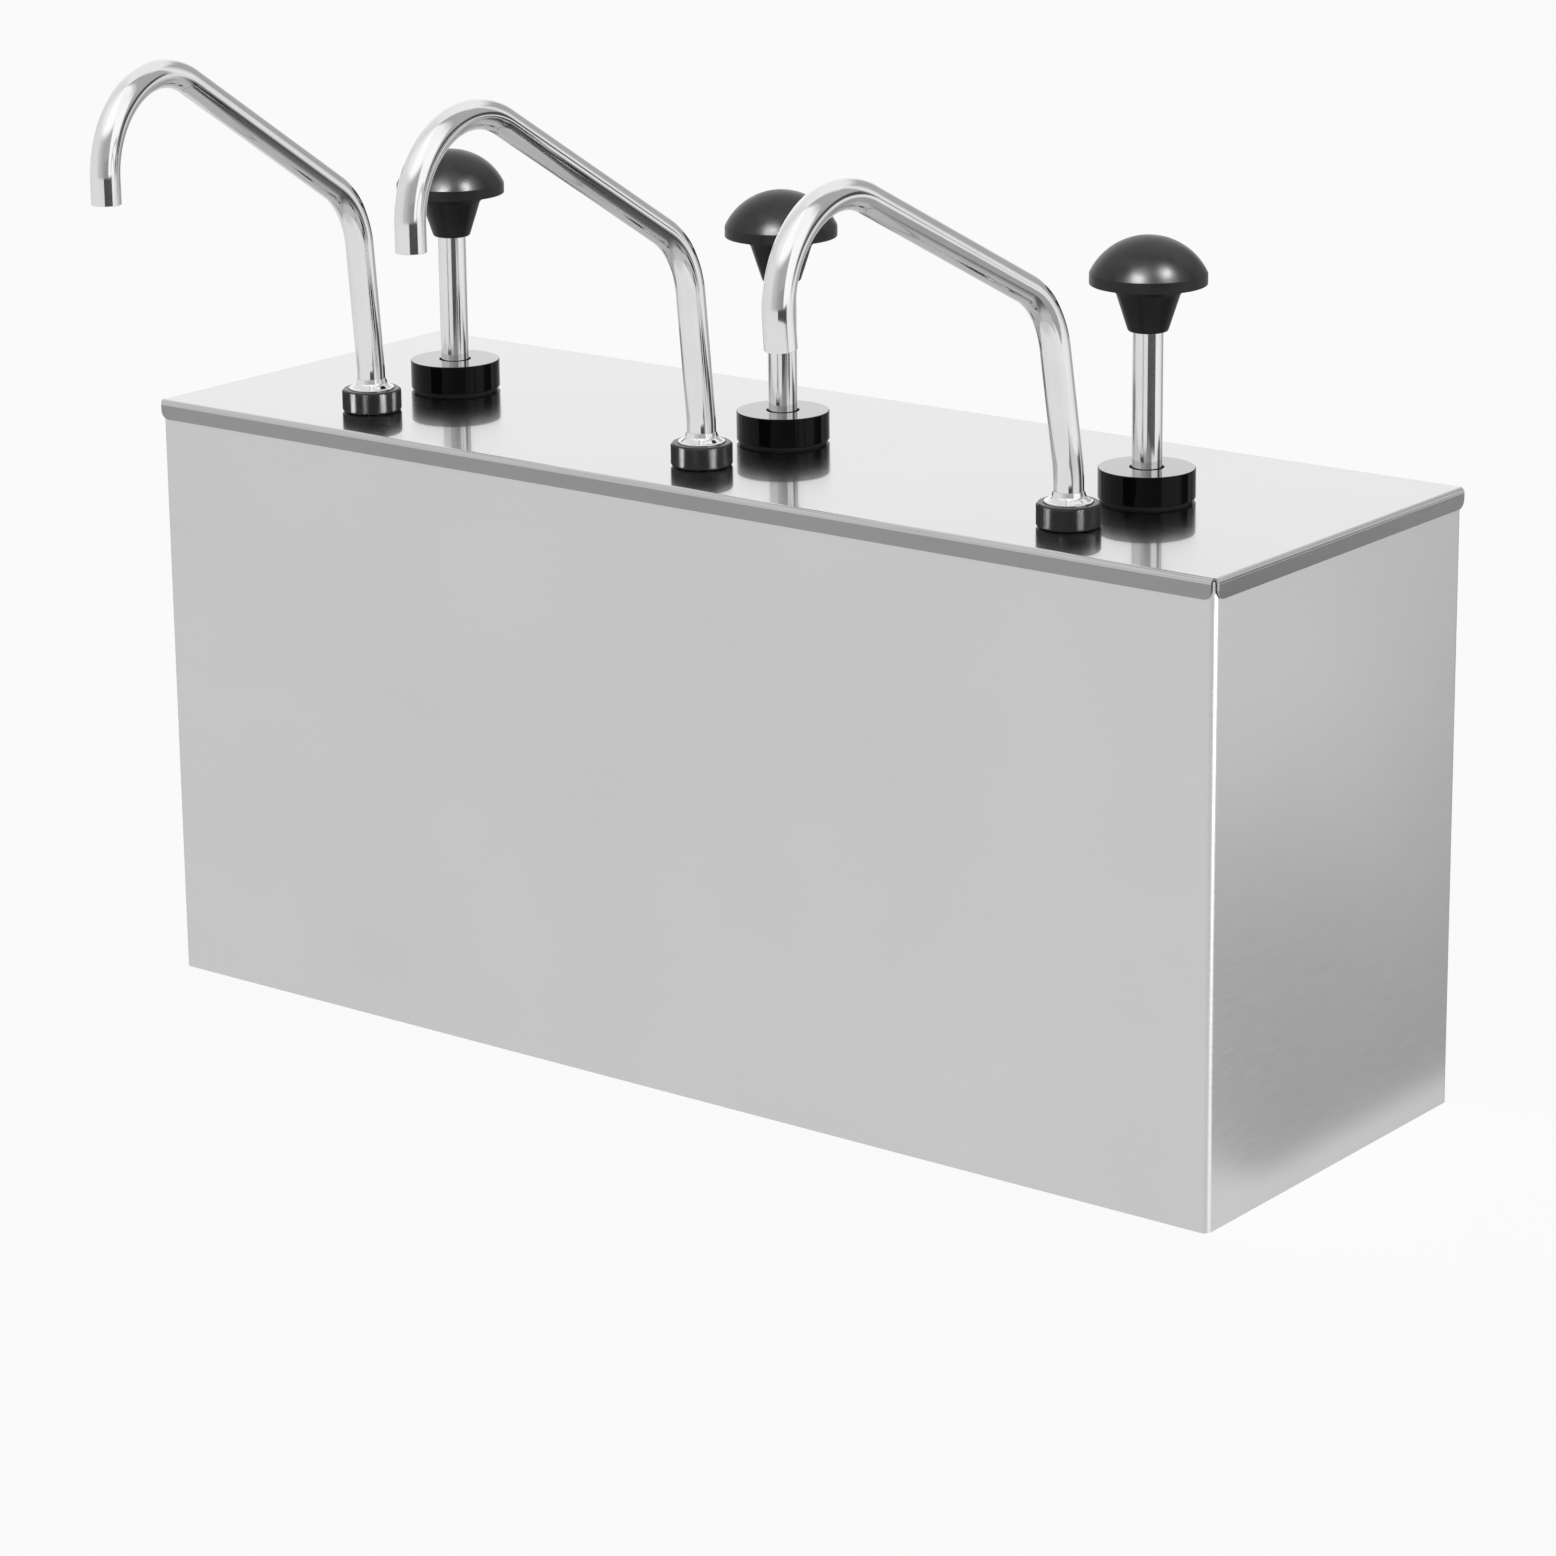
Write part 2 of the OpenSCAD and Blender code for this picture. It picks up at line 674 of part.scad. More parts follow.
module spout_stud() {
    groove_h = oring_d + 2 * turn_fit;
    color("darkgray")
    difference() {
        union() {
            translate([0, 0, stud_bottom]) cylinder(d = shank_d, h = lid_top - stud_bottom + cut / 2);
            translate([0, 0, lid_top]) cylinder(d = stud_flange_d, h = stud_flange_t);
            translate([0, 0, lid_top + stud_flange_t])
                cylinder(d = stud_thread_d, h = stud_top - lid_top - stud_flange_t);
        }
        translate([0, 0, stud_bottom]) cylinder(d = tube_bore_d, h = stud_top - stud_bottom);
        translate([0, 0, stud_bottom - cut]) cylinder(d = tube_socket_d, h = stud_socket_l + cut);
        translate([0, 0, lid_top]) cylinder(d = tube_d + 2 * run_fit, h = stud_top - lid_top + cut);
        translate([0, 0, oring_z - groove_h / 2])
            cylinder(d = oring_mean_d + oring_d + 2 * join_fit, h = groove_h);
    }
}

module stud_locknut() {
    color("gray")
    translate([0, 0, wall_h - gasket_t - locknut_h])
    difference() {
        cylinder(d = locknut_af / cos(30), h = locknut_h, $fn = 6);
        translate([0, 0, -cut]) cylinder(d = shank_d + 2 * join_fit, h = locknut_h + 2 * cut);
    }
}

module head_gasket() {
    color("black")
    translate([0, 0, wall_h - gasket_t]) ring(head_flange_d, stem_d + 2 * hole_fit, gasket_t);
}

module stud_gasket() {
    color("black")
    translate([0, 0, wall_h - gasket_t]) ring(locknut_af, shank_d + 2 * hole_fit, gasket_t);
}

module spout_oring() {
    color("black")
    translate([0, 0, oring_z]) rotate_extrude() translate([oring_mean_d / 2, 0]) circle(d = oring_d);
}

// spout

module knurled_nut() {
    r = nut_d / 2;
    bore_r = stud_thread_d / 2 + 2 * join_fit;
    open_r = nut_open_d / 2;
    h = nut_h - nut_lip_t;
    recess_r = stud_flange_d / 2 + recess_fit;
    color("#1c1c1c")
    translate([0, 0, nut_z])
    turned([
        [recess_r, 0], [r - small_chamfer, 0], [r, small_chamfer], [r, nut_h - small_chamfer],
        [r - small_chamfer, nut_h], [open_r, nut_h], [open_r, h], [bore_r, h],
        [bore_r, stud_flange_t], [recess_r, stud_flange_t]
    ]);
}

module spout_ferrule() {
    bore_r = tube_d / 2 + join_fit;
    foot_r = nut_open_d / 2 - lip_fit;
    edge_t = 0.3;
    flange_top = ferrule_z + ferrule_flange_t;
    color("gainsboro")
    turned([
        [bore_r, ferrule_z], [ferrule_flange_d / 2, ferrule_z], [ferrule_flange_d / 2, flange_top],
        [foot_r, flange_top], [foot_r, nut_top + bead_h / 2], [foot_r - bead_h / 2, nut_top + bead_h],
        [bore_r + edge_t, nut_top + cone_h], [bore_r, nut_top + cone_h]
    ]);
}

module tube_section(draw = 0) {
    difference() {
        circle(d = tube_d - draw);
        circle(d = tube_bore_d + draw);
    }
}

// straight stretch of tube that runs into the bends next to it, what follows is placed at its end
module straight(l, lap_before = bend_lap, lap_after = bend_lap) {
    translate([0, 0, -lap_before]) linear_extrude(lap_before + l + lap_after) tube_section();
    translate([0, 0, l]) children();
}

// bend towards -Y, what follows is placed at its end
module bend(r, a) {
    translate([0, -r, 0]) rotate([90, 0, 90])
        rotate_extrude(angle = a) translate([r, 0]) tube_section(2 * bend_draw);
    translate([0, r * (cos(a) - 1), r * sin(a)]) rotate([a, 0, 0]) children();
}

module spout_tube(i) {
    foot_l = lid_top + spout_foot_h - spout_z;
    riser_l = riser_h - spout_foot_h - lean_bend_r * lean[i] * PI / 180;
    color("whitesmoke")
    translate([0, 0, spout_z]) rotate(heading[i])
        straight(foot_l, lap_before = 0)
        bend(lean_bend_r, lean[i])
        straight(riser_l)
        bend(lower_bend_r, 90 - slope_a - riser_lean)
        straight(slope_l)
        bend(top_bend_r, 90 + slope_a)
        straight(outlet_l, lap_after = 0);
}

casing_shell();
base_tray();
lid_panel();
for (i = [0:bays - 1]) {
    at_pump(i) sauce_tub();
    at_pump(i) knob();
    at_pump(i) plunger_rod();
    at_pump(i) piston();
    at_pump(i) piston_seal();
    at_pump(i) return_spring();
    at_pump(i) pump_collar();
    at_pump(i) barrel_head();
    at_pump(i) barrel_tube();
    at_pump(i) inlet_ball();
    at_spout(i) outlet_ball();
    at_spout(i) riser_tube();
    at_spout(i) knurled_nut();
    at_spout(i) spout_ferrule();
    at_spout(i) spout_tube(i);
    at_pump(i) collar_washer();  // collar_washers
    at_pump(i) rod_bush();  // rod_bushes
    at_pump(i) head_gasket();  // lid_gaskets
    at_spout(i) stud_gasket();  // lid_gaskets
    at_pump(i) valve_block();  // valve_blocks
    at_pump(i) inlet_cap();  // inlet_caps
    at_pump(i) link_tube();  // link_tubes
    at_spout(i) outlet_elbow();  // outlet_elbows
    at_spout(i) spout_stud();  // spout_studs
    at_spout(i) stud_locknut();  // stud_locknuts
    at_spout(i) spout_oring();  // spout_orings
}
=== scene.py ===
import json
import math

import bmesh
import bpy
from mathutils import Matrix, Vector
from mathutils.geometry import delaunay_2d_cdt

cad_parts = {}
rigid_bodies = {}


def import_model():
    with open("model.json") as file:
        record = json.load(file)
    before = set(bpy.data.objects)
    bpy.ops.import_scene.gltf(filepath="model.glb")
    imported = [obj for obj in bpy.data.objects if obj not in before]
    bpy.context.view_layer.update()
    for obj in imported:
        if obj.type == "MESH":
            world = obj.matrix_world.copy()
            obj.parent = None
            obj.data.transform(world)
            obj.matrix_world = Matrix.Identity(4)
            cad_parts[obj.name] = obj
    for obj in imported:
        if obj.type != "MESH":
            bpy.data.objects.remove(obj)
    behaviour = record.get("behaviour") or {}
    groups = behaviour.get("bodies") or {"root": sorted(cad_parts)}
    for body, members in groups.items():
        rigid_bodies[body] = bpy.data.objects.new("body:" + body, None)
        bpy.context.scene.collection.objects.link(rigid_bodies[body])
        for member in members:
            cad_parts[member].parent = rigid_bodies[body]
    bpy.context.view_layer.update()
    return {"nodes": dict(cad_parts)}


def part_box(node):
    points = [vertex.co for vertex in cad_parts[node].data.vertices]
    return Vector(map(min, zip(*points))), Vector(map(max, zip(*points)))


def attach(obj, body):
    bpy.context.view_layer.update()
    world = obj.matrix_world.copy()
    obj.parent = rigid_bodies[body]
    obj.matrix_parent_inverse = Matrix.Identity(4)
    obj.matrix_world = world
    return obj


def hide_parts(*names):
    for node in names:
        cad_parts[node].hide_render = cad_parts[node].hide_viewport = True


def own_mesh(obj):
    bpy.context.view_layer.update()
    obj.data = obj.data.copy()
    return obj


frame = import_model()
scene = bpy.context.scene
sides = ("left", "middle", "right")
mm = 0.001
fullTurn = 2 * math.pi
nearAxis = 0.02  # radius in millimetres where a turned outline meets its axis
mergeReach = 1e-6  # metres within which points of a piece become one
print("frame loaded with", len(frame["nodes"]), "nodes")

# where the lid, pumps and spouts stand, in millimetres of the shared frame
layout = {
    "pumpX": {"left": -180, "middle": 0, "right": 180},
    "spoutY": -54,
    "lidTop": 258,
    "knobFoot": 325.4,
}


def pumpCentre(side):
    return layout["pumpX"][side], 0


def spoutCentre(side):
    return layout["pumpX"][side], layout["spoutY"]


# camera at the photograph's place
cameraView = {
    "place": (1.2259, -1.5813, 0.7125),
    "headingDeg": -37.87,
    "tiltDeg": -14.89,
    "rollDeg": -0.62,
    "lens": 114.64,
    "sensorWidth": 36,
    "shiftY": -0.1003,
    "clip": (0.05, 50),
}


def makeCamera(view):
    heading, tilt, roll = (math.radians(view[k]) for k in ("headingDeg", "tiltDeg", "rollDeg"))
    forward = Vector((math.sin(heading) * math.cos(tilt), math.cos(heading) * math.cos(tilt), math.sin(tilt)))
    right = forward.cross(Vector((0, 0, 1))).normalized()
    up = right.cross(forward)
    turnedRight = right * math.cos(roll) + up * math.sin(roll)
    turnedUp = up * math.cos(roll) - right * math.sin(roll)
    data = bpy.data.cameras.new("photoCamera")
    data.lens = view["lens"]
    data.sensor_width = view["sensorWidth"]
    data.shift_y = view["shiftY"]
    data.clip_start, data.clip_end = view["clip"]
    camera = bpy.data.objects.new("photoCamera", data)
    axes = Matrix((turnedRight, turnedUp, -forward)).transposed()
    camera.matrix_world = Matrix.Translation(view["place"]) @ axes.to_4x4()
    scene.collection.objects.link(camera)
    scene.camera = camera


makeCamera(cameraView)
print("camera placed")


# noise behind every finish: its own roughness, and the levels that give the darkest and lightest shade
noiseTone = {"roughness": 0.55, "dark": 0.3, "light": 0.7}


def shaderOf(material):
    return material.node_tree.nodes["Principled BSDF"]


def newMaterial(name, color, metallic, roughness, sockets=None):
    material = bpy.data.materials.new(name)
    material.use_nodes = True
    shader = shaderOf(material)
    shader.inputs["Base Color"].default_value = (*color, 1)
    shader.inputs["Metallic"].default_value = metallic
    shader.inputs["Roughness"].default_value = roughness
    for socket, value in (sockets or {}).items():
        shader.inputs[socket].default_value = value
    return material


def addNode(material, kind):
    return material.node_tree.nodes.new(kind)


def wire(material, source, target):
    material.node_tree.links.new(source, target)


# noise on the piece's own coordinates; density is per metre along X, Y and Z
def pattern(material, density, detail):
    place = addNode(material, "ShaderNodeTexCoord")
    mapping = addNode(material, "ShaderNodeMapping")
    mapping.inputs["Scale"].default_value = density
    noise = addNode(material, "ShaderNodeTexNoise")
    for socket, value in (("Scale", 1), ("Detail", detail), ("Roughness", noiseTone["roughness"])):
        noise.inputs[socket].default_value = value
    wire(material, place.outputs["Object"], mapping.inputs["Vector"])
    wire(material, mapping.outputs["Vector"], noise.inputs["Vector"])
    return noise.outputs["Fac"]


# colour that goes a shade darker and lighter with the noise
def tint(material, source, color, shade):
    ramp = addNode(material, "ShaderNodeValToRGB")
    ends = ((noiseTone["dark"], -shade), (noiseTone["light"], shade))
    for mark, (position, change) in zip(ramp.color_ramp.elements, ends):
        mark.position = position
        mark.color = (*(v + change for v in color), 1)
    wire(material, source, ramp.inputs["Fac"])
    wire(material, ramp.outputs["Color"], shaderOf(material).inputs["Base Color"])


def roughen(material, source, low, high):
    remap = addNode(material, "ShaderNodeMapRange")
    darkest, lightest = noiseTone["dark"], noiseTone["light"]
    for socket, value in (("From Min", darkest), ("From Max", lightest), ("To Min", low), ("To Max", high)):
        remap.inputs[socket].default_value = value
    wire(material, source, remap.inputs["Value"])
    wire(material, remap.outputs["Result"], shaderOf(material).inputs["Roughness"])


# stack of bumps, each (source, depth in metres)
def relief(material, *layers):
    normal = None
    for source, depth in layers:
        bump = addNode(material, "ShaderNodeBump")
        bump.inputs["Strength"].default_value = 1
        bump.inputs["Distance"].default_value = depth
        wire(material, source, bump.inputs["Height"])
        if normal:
            wire(material, normal, bump.inputs["Normal"])
        normal = bump.outputs["Normal"]
    wire(material, normal, shaderOf(material).inputs["Normal"])


# satin steels: grain is its density per metre along X, Y and Z, depth is in metres
satinSteels = {
    "satinCaseSteel": {
        "color": (0.68, 0.68, 0.68), "roughness": (0.36, 0.44), "grain": (60, 60, 2600), "depth": 4e-7},
    "satinLidSteel": {
        "color": (0.475, 0.475, 0.475), "roughness": (0.17, 0.22), "grain": (40, 2400, 2400),
        "depth": 1.5e-7, "sockets": {"Coat Weight": 1.0, "Coat IOR": 2.2, "Coat Roughness": 0.04}},
    # the flanges are the lid's own steel; their darker colour is painted shade for their darker reflections
    "lidFlangeSteel": {
        "color": (0.33, 0.33, 0.33), "roughness": (0.25, 0.35), "grain": (60, 60, 2600), "depth": 4e-7},
    "pressedTubSteel": {
        "color": (0.56, 0.56, 0.555), "roughness": (0.28, 0.38), "grain": (900, 900, 60), "depth": 4e-7},
    "innerTubeSteel": {
        "color": (0.56, 0.56, 0.555), "roughness": (0.22, 0.32), "grain": (500, 500, 3000), "depth": 4e-7},
    "drawnSpringWire": {
        "color": (0.42, 0.42, 0.43), "roughness": (0.25, 0.4), "grain": (1800, 1800, 1800), "depth": 4e-7},
}
satinTone = {"grainDetail": 4, "clouds": (9, 9, 9), "cloudDetail": 2, "shade": 0.012}


def makeSatinSteel(name):
    s, t = satinSteels[name], satinTone
    material = newMaterial(name, s["color"], 1, s["roughness"][0], s.get("sockets"))
    lines = pattern(material, s["grain"], t["grainDetail"])
    clouds = pattern(material, t["clouds"], t["cloudDetail"])
    tint(material, clouds, s["color"], t["shade"])
    roughen(material, lines, *s["roughness"])
    relief(material, (lines, s["depth"]))
    return material


# polished steels: fine lines left by polishing, over slow waves of the metal
polishedSteels = {
    "polishedSpoutSteel": {
        "color": (0.80, 0.80, 0.80), "roughness": (0.06, 0.10), "lines": (1500, 1500, 1500)},
    "groundRodSteel": {
        "color": (0.80, 0.80, 0.80), "roughness": (0.08, 0.14), "lines": (300, 300, 9000)},
    "ballSteel": {
        "color": (0.75, 0.75, 0.75), "roughness": (0.05, 0.09), "lines": (1200, 1200, 1200)},
}
polishedTone = {
    "lineDetail": 3, "lineDepth": 1.5e-7, "waves": (90, 90, 60), "waveDetail": 1, "waveDepth": 1.2e-6,
    "shade": 0.02,
}


def makePolishedSteel(name):
    s, t = polishedSteels[name], polishedTone
    material = newMaterial(name, s["color"], 1, s["roughness"][0])
    lines = pattern(material, s["lines"], t["lineDetail"])
    waves = pattern(material, t["waves"], t["waveDetail"])
    tint(material, waves, s["color"], t["shade"])
    roughen(material, lines, *s["roughness"])
    relief(material, (lines, t["lineDepth"]), (waves, t["waveDepth"]))
    return material


# plastics and rubber: moulded grain, with clouds that change shade and gloss
plastics = {
    "satinKnobPlastic": {
        "color": (0.005, 0.005, 0.0053), "roughness": (0.27, 0.38), "grain": 3500, "depth": 9e-6,
        "sockets": {"Specular IOR Level": 0.27}},
    "glossCollarPlastic": {
        "color": (0.004, 0.004, 0.0045), "roughness": (0.05, 0.09), "grain": 700, "depth": 8e-7,
        "sockets": {"Specular IOR Level": 0.14}},
    "glossCollarTop": {
        "color": (0.004, 0.004, 0.0045), "roughness": (0.05, 0.09), "grain": 700, "depth": 8e-7,
        "sockets": {"Coat Weight": 1.0, "Coat IOR": 2.5, "Coat Roughness": 0.03}},
    "knurledNutBlack": {
        "color": (0.006, 0.006, 0.0065), "roughness": (0.12, 0.2), "grain": 1500, "depth": 1e-6,
        "sockets": {"Specular IOR Level": 0.3}},
    "whiteBlockPlastic": {
        "color": (0.80, 0.80, 0.77), "roughness": (0.38, 0.5), "grain": 1600, "depth": 3e-6},
    "darkHeadPlastic": {
        "color": (0.03, 0.03, 0.031), "roughness": (0.35, 0.5), "grain": 1800, "depth": 4e-6},
    "sealRubber": {
        "color": (0.018, 0.018, 0.018), "roughness": (0.55, 0.7), "grain": 2200, "depth": 8e-6},
}
plasticTone = {"detail": 2, "clouds": (120, 120, 120), "shadeShare": 0.15}


def makePlastic(name):
    p, t = plastics[name], plasticTone
    material = newMaterial(name, p["color"], 0, p["roughness"][0], p.get("sockets"))
    grain = pattern(material, (p["grain"],) * 3, t["detail"])
    clouds = pattern(material, t["clouds"], t["detail"])
    tint(material, clouds, p["color"], min(p["color"]) * t["shadeShare"])
    roughen(material, clouds, *p["roughness"])
    relief(material, (grain, p["depth"]))
    return material


caseSteel = makeSatinSteel("satinCaseSteel")
lidSteel = makeSatinSteel("satinLidSteel")
flangePaintedShadeSteel = makeSatinSteel("lidFlangeSteel")
tubSteel = makeSatinSteel("pressedTubSteel")
innerSteel = makeSatinSteel("innerTubeSteel")
spoutSteel = makePolishedSteel("polishedSpoutSteel")
rodSteel = makePolishedSteel("groundRodSteel")
ballSteel = makePolishedSteel("ballSteel")
springSteel = makeSatinSteel("drawnSpringWire")
knobPlastic = makePlastic("satinKnobPlastic")
collarPlastic = makePlastic("glossCollarPlastic")
collarTopPlastic = makePlastic("glossCollarTop")
nutBlack = makePlastic("knurledNutBlack")
blockPlastic = makePlastic("whiteBlockPlastic")
headPlastic = makePlastic("darkHeadPlastic")
sealRubber = makePlastic("sealRubber")
print("materials ready")


# a mesh in metres becomes a piece that rides on a body in place of its solids; edges bent by more than
# sharpDeg stay sharp
def addPiece(name, points, faces, material, body, replaced, slot, sharpDeg=35):
    mesh = bpy.data.meshes.new(name)
    mesh.from_pydata([tuple(p) for p in points], [], faces)
    made = bmesh.new()
    made.from_mesh(mesh)
    bmesh.ops.remove_doubles(made, verts=made.verts, dist=mergeReach)
    bmesh.ops.recalc_face_normals(made, faces=made.faces)
    made.to_mesh(mesh)
    made.free()
    mesh.validate()
    mesh.shade_smooth()
    mesh.set_sharp_from_angle(angle=math.radians(sharpDeg))
    mesh.materials.append(material)
    piece = bpy.data.objects.new(name, mesh)
    piece.modifiers.new("flatFacesFirst", "WEIGHTED_NORMAL").keep_sharp = True
    scene.collection.objects.link(piece)
    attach(piece, body)
    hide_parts(*replaced)
    return piece


# a second material for the faces that a test on their centre picks out
def refinish(piece, material, picked):
    piece.data.materials.append(material)
    for face in piece.data.polygons:
        if picked(face.center):
            face.material_index = 1


# corners of a section, (x, y, fillet radius), become its outline
def fillet(corners, steps=6):
    outline = []
    for k, (x, y, radius) in enumerate(corners):
        here = Vector((x, y))
        if not radius:
            outline.append(here)
            continue
        toLast = (Vector(corners[k - 1][:2]) - here).normalized()
        toNext = (Vector(corners[(k + 1) % len(corners)][:2]) - here).normalized()
        half = toLast.angle(toNext) / 2
        middle = here + (toLast + toNext).normalized() * (radius / math.sin(half))
        start = here + toLast * (radius / math.tan(half)) - middle
        end = here + toNext * (radius / math.tan(half)) - middle
        turn = start.angle_signed(end)
        for n in range(steps + 1):
            a = -turn * n / steps
            outline.append(middle + Vector((start.x * math.cos(a) - start.y * math.sin(a),
                                            start.x * math.sin(a) + start.y * math.cos(a))))
    return outline


# joins loops of equally many points, given in order, into a skin
def skin(loops, closed=True):
    count = len(loops[0])
    points = [p for loop in loops for p in loop]
    faces = []
    for k in range(len(loops) if closed else len(loops) - 1):
        a, b = k * count, (k + 1) % len(loops) * count
        faces += [(a + n, a + (n + 1) % count, b + (n + 1) % count, b + n) for n in range(count)]
    return points, faces


# turns an outline of (radius, height) in millimetres about an upright axis
def addTurned(name, outline, centre, segments, material, body, replaced, slot):
    angles = [fullTurn * n / segments for n in range(segments)]
    loops = [[Vector((centre[0] + radius * math.cos(a), centre[1] + radius * math.sin(a), height)) * mm
              for a in angles] for radius, height in outline]
    points, faces = skin(loops)
    return addPiece(name, points, faces, material, body, replaced, slot)


# knob: cap with a domed top, a ring under it and a conical neck
knob = {
    "capRadius": 23.1, "domeHeight": 14.6, "rimHeight": 4.4, "ringRadius": 13.3, "ringHeight": 3.2,
    "neckTop": 12.8, "neckBottom": 7.8, "neckHeight": 15.4, "socketRadius": 6.05, "socketDepth": 22,
    "creaseFillet": 0.5, "edgeFillet": 0.45, "footFillet": 1.2, "neckFillet": 0.15, "ringFillets": (0.2, 0.3),
    "domeSteps": 26, "segments": 128,
}


def knobOutline(k):
    foot = layout["knobFoot"]
    ring = foot + k["neckHeight"]
    rim = ring + k["ringHeight"]
    dome = rim + k["rimHeight"]
    ball = (k["capRadius"] ** 2 + k["domeHeight"] ** 2) / (2 * k["domeHeight"])
    centre = dome + k["domeHeight"] - ball
    lowFillet, highFillet = k["ringFillets"]
    corners = [
        (k["socketRadius"], foot, 0), (k["neckBottom"], foot, k["footFillet"]),
        (k["neckTop"], ring, k["neckFillet"]), (k["ringRadius"], ring, lowFillet),
        (k["ringRadius"], rim, highFillet), (k["capRadius"], rim, k["edgeFillet"]),
        (k["capRadius"], dome, k["creaseFillet"]),
    ]
    start = math.acos(k["capRadius"] / ball)
    for n in range(1, k["domeSteps"] + 1):
        a = start + (math.pi / 2 - start) * (n / k["domeSteps"])
        corners.append((max(ball * math.cos(a), nearAxis), centre + ball * math.sin(a), 0))
    socketTop = foot + k["socketDepth"]
    return fillet(corners + [(nearAxis, socketTop, 0), (k["socketRadius"], socketTop, 0)])


for side in sides:
    addTurned(side + ".knobCap", knobOutline(knob), pumpCentre(side), knob["segments"], knobPlastic,
              side + "_plunger", [side + "_knob"], "knob_plastic")
print("knobs made")


# plunger rod with its thinner tail in the piston
rod = {"radius": 6, "tailRadius": 5, "chamfer": 0.5, "fillet": 0.2, "segments": 96}


def rodOutline(r, low, shoulder, high):
    return fillet([
        (nearAxis, low, 0), (r["tailRadius"], low, r["fillet"]), (r["tailRadius"], shoulder, 0),
        (r["radius"], shoulder, r["fillet"]), (r["radius"], high - r["chamfer"], 0),
        (r["radius"] - r["chamfer"], high, 0), (nearAxis, high, 0)])


for side in sides:
    low, high = (v.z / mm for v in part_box(side + "_plunger_rod"))
    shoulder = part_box(side + "_piston")[1].z / mm
    addTurned(side + ".groundRod", rodOutline(rod, low, shoulder, high), pumpCentre(side), rod["segments"],
              rodSteel, side + "_plunger", [side + "_plunger_rod"], "polished_steel")
print("rods made")


# collar on the lid, with a glossier top
collar = {
    "radius": 19.3, "threadRadius": 16.05, "holeRadius": 6.7, "capThickness": 3.2, "topDepth": 0.01,
    "edge": 0.45, "footEdge": 0.3, "holeEdge": 0.4, "stepEdge": 0.2, "segments": 128,
}


def collarOutline(c, low, high):
    under = high - c["capThickness"]
    return fillet([
        (c["threadRadius"], low, c["footEdge"]), (c["radius"], low, c["edge"]),
        (c["radius"], high, c["edge"]), (c["holeRadius"], high, c["holeEdge"]),
        (c["holeRadius"], under, c["stepEdge"]), (c["threadRadius"], under, 0)])


for side in sides:
    low, high = (v.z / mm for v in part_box(side + "_pump_collar"))
    topFaces = (high - collar["topDepth"]) * mm
    piece = addTurned(side + ".glossCollar", collarOutline(collar, low, high), pumpCentre(side),
                      collar["segments"], collarPlastic, "lid", [side + "_pump_collar"], "collar_plastic")
    refinish(piece, collarTopPlastic, lambda centre: centre.z > topFaces)
print("collars made")


# spout: foot, riser, lower bend, slope, top bend and outlet, all in the plane of its heading
spout = {
    "outerRadius": 5.97, "innerRadius": 5, "footZ": 258.3, "footLength": 15.2, "footHeight": 15.5,
    "riserLength": 72, "riserLeanDeg": 5.6, "leanRadius": 60, "lowerRadius": 37.9, "slopeDeg": 31.2,
    "slopeLength": 110.1, "topRadius": 36.3, "outletLength": 10.4, "mouthRound": 0.2,
    "segments": 56, "stepDeg": 1.5, "mouthSteps": 4, "sharpDeg": 50,
    "headingDeg": {"left": 6.7, "middle": 0.6, "right": 0.3},
    "tiltDeg": {"left": 0, "middle": 0.5, "right": 5.2},
}


# points of the spout's axis with their direction angle, in its own plane
def spoutAxis(s, side):
    x, z, angle = 0.0, s["footZ"], 0.0
    stations = [(x, z, angle)]

    def goStraight(length):
        nonlocal x, z
        x += length * math.sin(angle)
        z += length * math.cos(angle)
        stations.append((x, z, angle))

    def goRound(radius, degrees):
        nonlocal x, z, angle
        steps = max(1, round(degrees / s["stepDeg"]))
        first = angle
        middleX, middleZ = x + radius * math.cos(angle), z - radius * math.sin(angle)
        for n in range(1, steps + 1):
            angle = first + math.radians(degrees) * n / steps
            x, z = middleX - radius * math.cos(angle), middleZ + radius * math.sin(angle)
            stations.append((x, z, angle))

    lean = s["riserLeanDeg"] + s["tiltDeg"][side]
    goStraight(s["footLength"])
    goRound(s["leanRadius"], lean)
    goStraight(s["riserLength"] - s["footHeight"] - s["leanRadius"] * math.radians(lean))
    goRound(s["lowerRadius"], 90 - s["slopeDeg"] - s["riserLeanDeg"])
    goStraight(s["slopeLength"])
    goRound(s["topRadius"], 90 + s["slopeDeg"])
    goStraight(s["outletLength"])
    return stations


